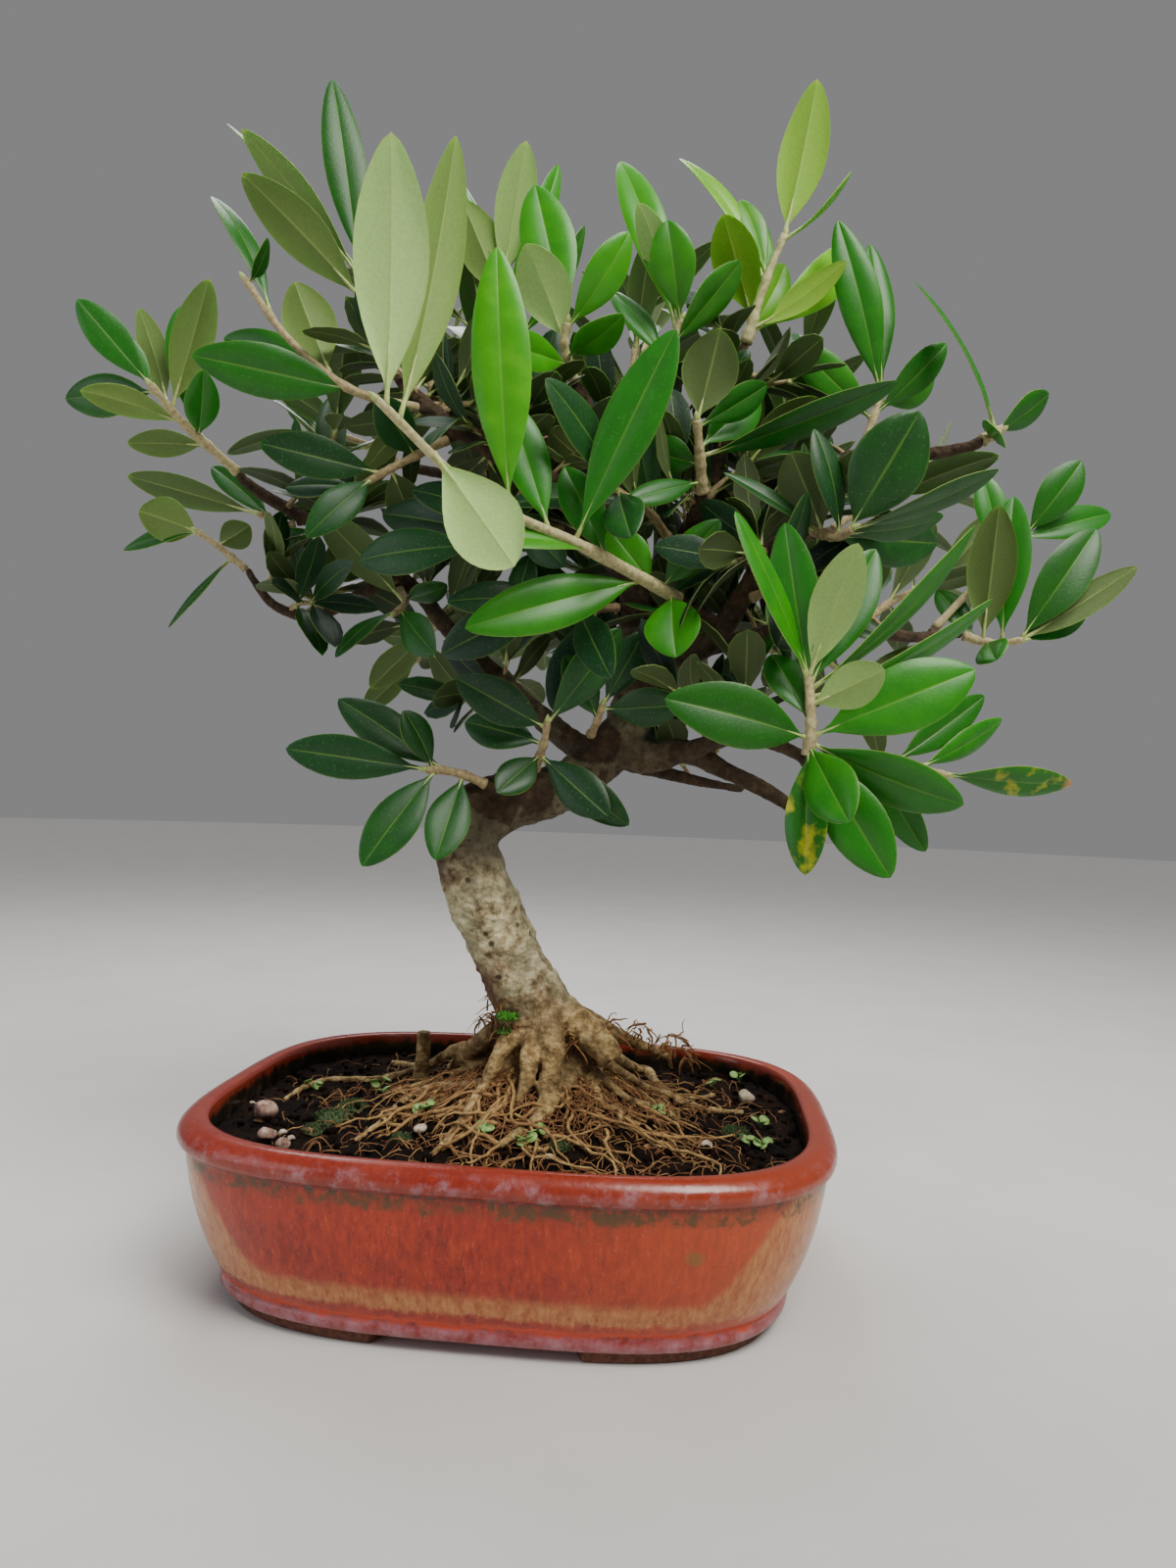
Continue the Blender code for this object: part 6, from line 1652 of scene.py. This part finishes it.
# %% Pebbles
def stone_finish(name, dark, middle, light):
    made, tree, shader = finish(name, Roughness=0.85)
    grain = add(tree, "TexNoise", {"Vector": (add(tree, "TexCoord"), "Object"), "Scale": marks(2.4), "Detail": 8})
    tone = add(tree, "ValToRGB", {"Fac": grain}, stops=[
        (0.32, linear(dark)), (0.52, linear(middle)), (0.72, linear(light))])
    tree.links.new(tone.outputs[0], shader.inputs["Base Color"])
    bump = add(tree, "Bump", {"Height": grain, "Strength": 0.7, "Distance": 0.0006})
    tree.links.new(bump.outputs[0], shader.inputs["Normal"])
    return made


pink_stone = stone_finish("pinkish_stone", "5E4034", "9C7C6C", "C4AC9C")
pale_chip = stone_finish("pale_clay_chip", "8C7A66", "B8A890", "D8CEBC")
wood_chip = stone_finish("bark_chip", "3C2414", "7A5636", "A8845A")


def broken_stone(middle, size, seed, cuts=7):
    """A ball of unit size cut flat on several sides, softened, then sized and placed."""
    bm = bmesh.new()
    bmesh.ops.create_icosphere(bm, subdivisions=3, radius=0.5)
    draw = random.Random(f"stone {seed}")
    for _ in range(cuts):
        way = Vector((draw.uniform(-1, 1), draw.uniform(-1, 1), draw.uniform(-1, 1))).normalized()
        reach = draw.uniform(0.30, 0.42)
        for v in bm.verts:
            beyond = v.co.dot(way) - reach
            if beyond > 0:
                v.co -= way * beyond
    bmesh.ops.smooth_vert(bm, verts=bm.verts, factor=0.3, use_axis_x=True, use_axis_y=True, use_axis_z=True)
    for v in bm.verts:
        v.co = metres(Vector((v.co.x * size[0], v.co.y * size[1], v.co.z * size[2])) + middle)
    return bm


for i in range(5):
    low, high = (Vector(corner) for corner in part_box(f"pebble_{i + 1}"))
    middle, size = ((low + high) / 2 - POT_MIDDLE) / MM, (high - low) / MM * 1.12
    piece(broken_stone(middle, size, i), f"broken_pebble_{i + 1}", [f"pebble_{i + 1}"],
          [pink_stone if i < 3 else pale_chip])


# %% Chips
def on_soil(right, up):
    """The place on the soil that the viewer sees at this point of the front elevation."""
    sight = (drawn(right, up, back) for back in range(-90, 100))
    return next(p for p in sight if p.z < surface(p.x, p.y))


# A chip: right, up, its three sizes and its finish.
CHIPS = [
    (-104, -119.3, (3.4, 2.6, 2.2), 0), (-101, -121, (3.0, 2.4, 1.6), 0), (-114.3, -109, (2.6, 2.0, 1.5), 0),
    (-95, -119.5, (6.0, 4.0, 3.4), 1), (-57, -118, (4.4, 8.5, 3.0), 0), (-13.3, -127.7, (3.6, 2.8, 2.0), 0),
    (-69, -107.3, (2.4, 2.0, 1.6), 1), (-82, -109, (5.0, 2.4, 1.6), 1), (-46, -121, (5.5, 2.0, 1.5), 1),
    (20, -124, (3.2, 2.4, 1.8), 1), (66, -112, (3.0, 2.0, 1.4), 1), (-112, -115, (4.0, 2.4, 1.4), 1),
]
for number, (right, up, size, kind) in enumerate(CHIPS):
    chip = broken_stone(on_soil(right, up) + Vector((0, 0, size[2] * 0.3)), size, 20 + number, 9)
    piece(chip, f"chip_{number + 1:02d}", [], [(pale_chip, wood_chip)[kind]])

# %% [markdown]
# ## Moss and seedlings
# Damp soil grows moss, in cushions of tiny blades, and seedlings with three or four round leaflets on thin
# stalks. A moss cushion is a low dome covered with four-sided blades. A leaflet is a disc, cupped a little and
# given a thickness.

# %% Moss
moss, tree, shader = finish("cushion_moss", Roughness=0.8)
mottle = add(tree, "TexNoise", {"Vector": (add(tree, "TexCoord"), "Object"), "Scale": marks(0.8), "Detail": 4})
lush = add(tree, "ValToRGB", {"Fac": mottle}, stops=[(0.35, linear("123A06")), (0.65, linear("4E9C18"))])
dim = add(tree, "ValToRGB", {"Fac": mottle}, stops=[(0.3, linear("1A2A10")), (0.7, linear("3E5420"))])
tone = add(tree, "MixRGB", {"Fac": attribute(tree, "dim"), "Color1": lush, "Color2": dim})
tree.links.new(tone.outputs[0], shader.inputs["Base Color"])


def moss_cushion(bm, middle, reach, blades, dim, seed):
    """A low dome with small blades standing on it."""
    dome = bmesh.new()
    bmesh.ops.create_icosphere(dome, subdivisions=3, radius=1)
    for v in dome.verts:
        v.co *= 1 + 0.3 * noise.noise(v.co * 2 + Vector((seed, 0, 0)))
        v.co = metres(Vector((v.co.x * reach, v.co.y * reach, v.co.z * reach * 0.3)) + middle)
    gather(bm, dome, 0, dim=dim)
    draw = random.Random(f"moss {seed}")
    for _ in range(blades):
        turn, out = draw.uniform(0, math.tau), draw.uniform(0, 1) ** 0.5
        foot = middle + Vector((math.cos(turn) * out * reach, math.sin(turn) * out * reach,
                                reach * 0.3 * math.sqrt(1 - out * out) - 0.3))
        lean = Vector((draw.uniform(-0.6, 0.6), draw.uniform(-0.6, 0.6), 1)).normalized()
        height = draw.uniform(0.9, 1.9)
        gather(bm, tube([foot, foot + lean * height * 0.6, foot + lean * height], [0.24, 0.2, 0.05], 4), 0, dim=dim)


mosses = bmesh.new()
moss_cushion(mosses, drawn(-27.5, -79.5, -13), 3.4, 110, 0.0, 1)
moss_cushion(mosses, drawn(-28.5, -84.5, -12), 2.4, 60, 0.3, 2)
for number, (right, up, reach) in enumerate([(-87, -114, 6.5), (-80, -110, 5), (-93, -118, 4), (-10, -124, 3.5),
                                             (50, -119, 4.5), (-64, -121, 3.2)]):
    moss_cushion(mosses, on_soil(right, up), reach, 150, 1.0, 3 + number)
piece(mosses, "moss", [], [moss])

# %% Seedlings
seedling, tree, shader = finish("seedling_leaf", Roughness=0.55, Subsurface_Weight=0.1, Subsurface_Scale=0.001,
                                Subsurface_Radius=(0.5, 1.0, 0.2))
mottle = add(tree, "TexNoise", {"Vector": (add(tree, "TexCoord"), "Object"), "Scale": marks(1.2), "Detail": 4})
tone = add(tree, "ValToRGB", {"Fac": mottle}, stops=[(0.3, linear("5C8A34")), (0.7, linear("9CBC70"))])
tree.links.new(tone.outputs[0], shader.inputs["Base Color"])

# Seedlings of the front elevation: right and up of the foot.
SEEDLINGS = [(-116, -103.3), (-93, -104.3), (-71, -103.5), (-69, -106), (-56.7, -113.5), (-54, -111.5), (-18.3, -121),
             (-21.5, -124), (38.7, -98), (45, -98.5), (42, -103.5), (51.7, -101.5), (59, -117.5), (55, -123.5),
             (59.5, -124.5), (24, -113), (-34, -119)]
seedlings = bmesh.new()
for number, (right, up) in enumerate(SEEDLINGS):
    draw = random.Random(f"seedling {number}")
    foot = on_soil(right, up)
    for k in range(draw.choice((3, 3, 4, 5))):
        turn = draw.uniform(0, math.tau)
        away = draw.uniform(0.8, 2.6)
        head = foot + Vector((math.cos(turn) * away, math.sin(turn) * away, draw.uniform(1.5, 3.2)))
        gather(seedlings, tube([foot, foot.lerp(head, 0.6) + Vector((0, 0, 0.5)), head], [0.22, 0.2, 0.16], 4))
        leaflet = bmesh.new()
        bmesh.ops.create_circle(leaflet, cap_ends=True, segments=10, radius=1)
        bmesh.ops.inset_region(leaflet, faces=leaflet.faces[:], thickness=0.45)
        size = draw.uniform(1.2, 2.0)
        tilt = Matrix.Rotation(draw.uniform(-0.7, 0.7), 3, "X") @ Matrix.Rotation(draw.uniform(-0.7, 0.7), 3, "Y")
        for v in leaflet.verts:
            cup = 0.25 * v.co.xy.length_squared
            v.co = metres(head + tilt @ Vector((v.co.x, v.co.y, cup)) * size)
        bmesh.ops.solidify(leaflet, geom=leaflet.faces[:], thickness=0.25 * MM)
        bmesh.ops.recalc_face_normals(leaflet, faces=leaflet.faces)
        gather(seedlings, leaflet)
piece(seedlings, "seedlings", [], [seedling])
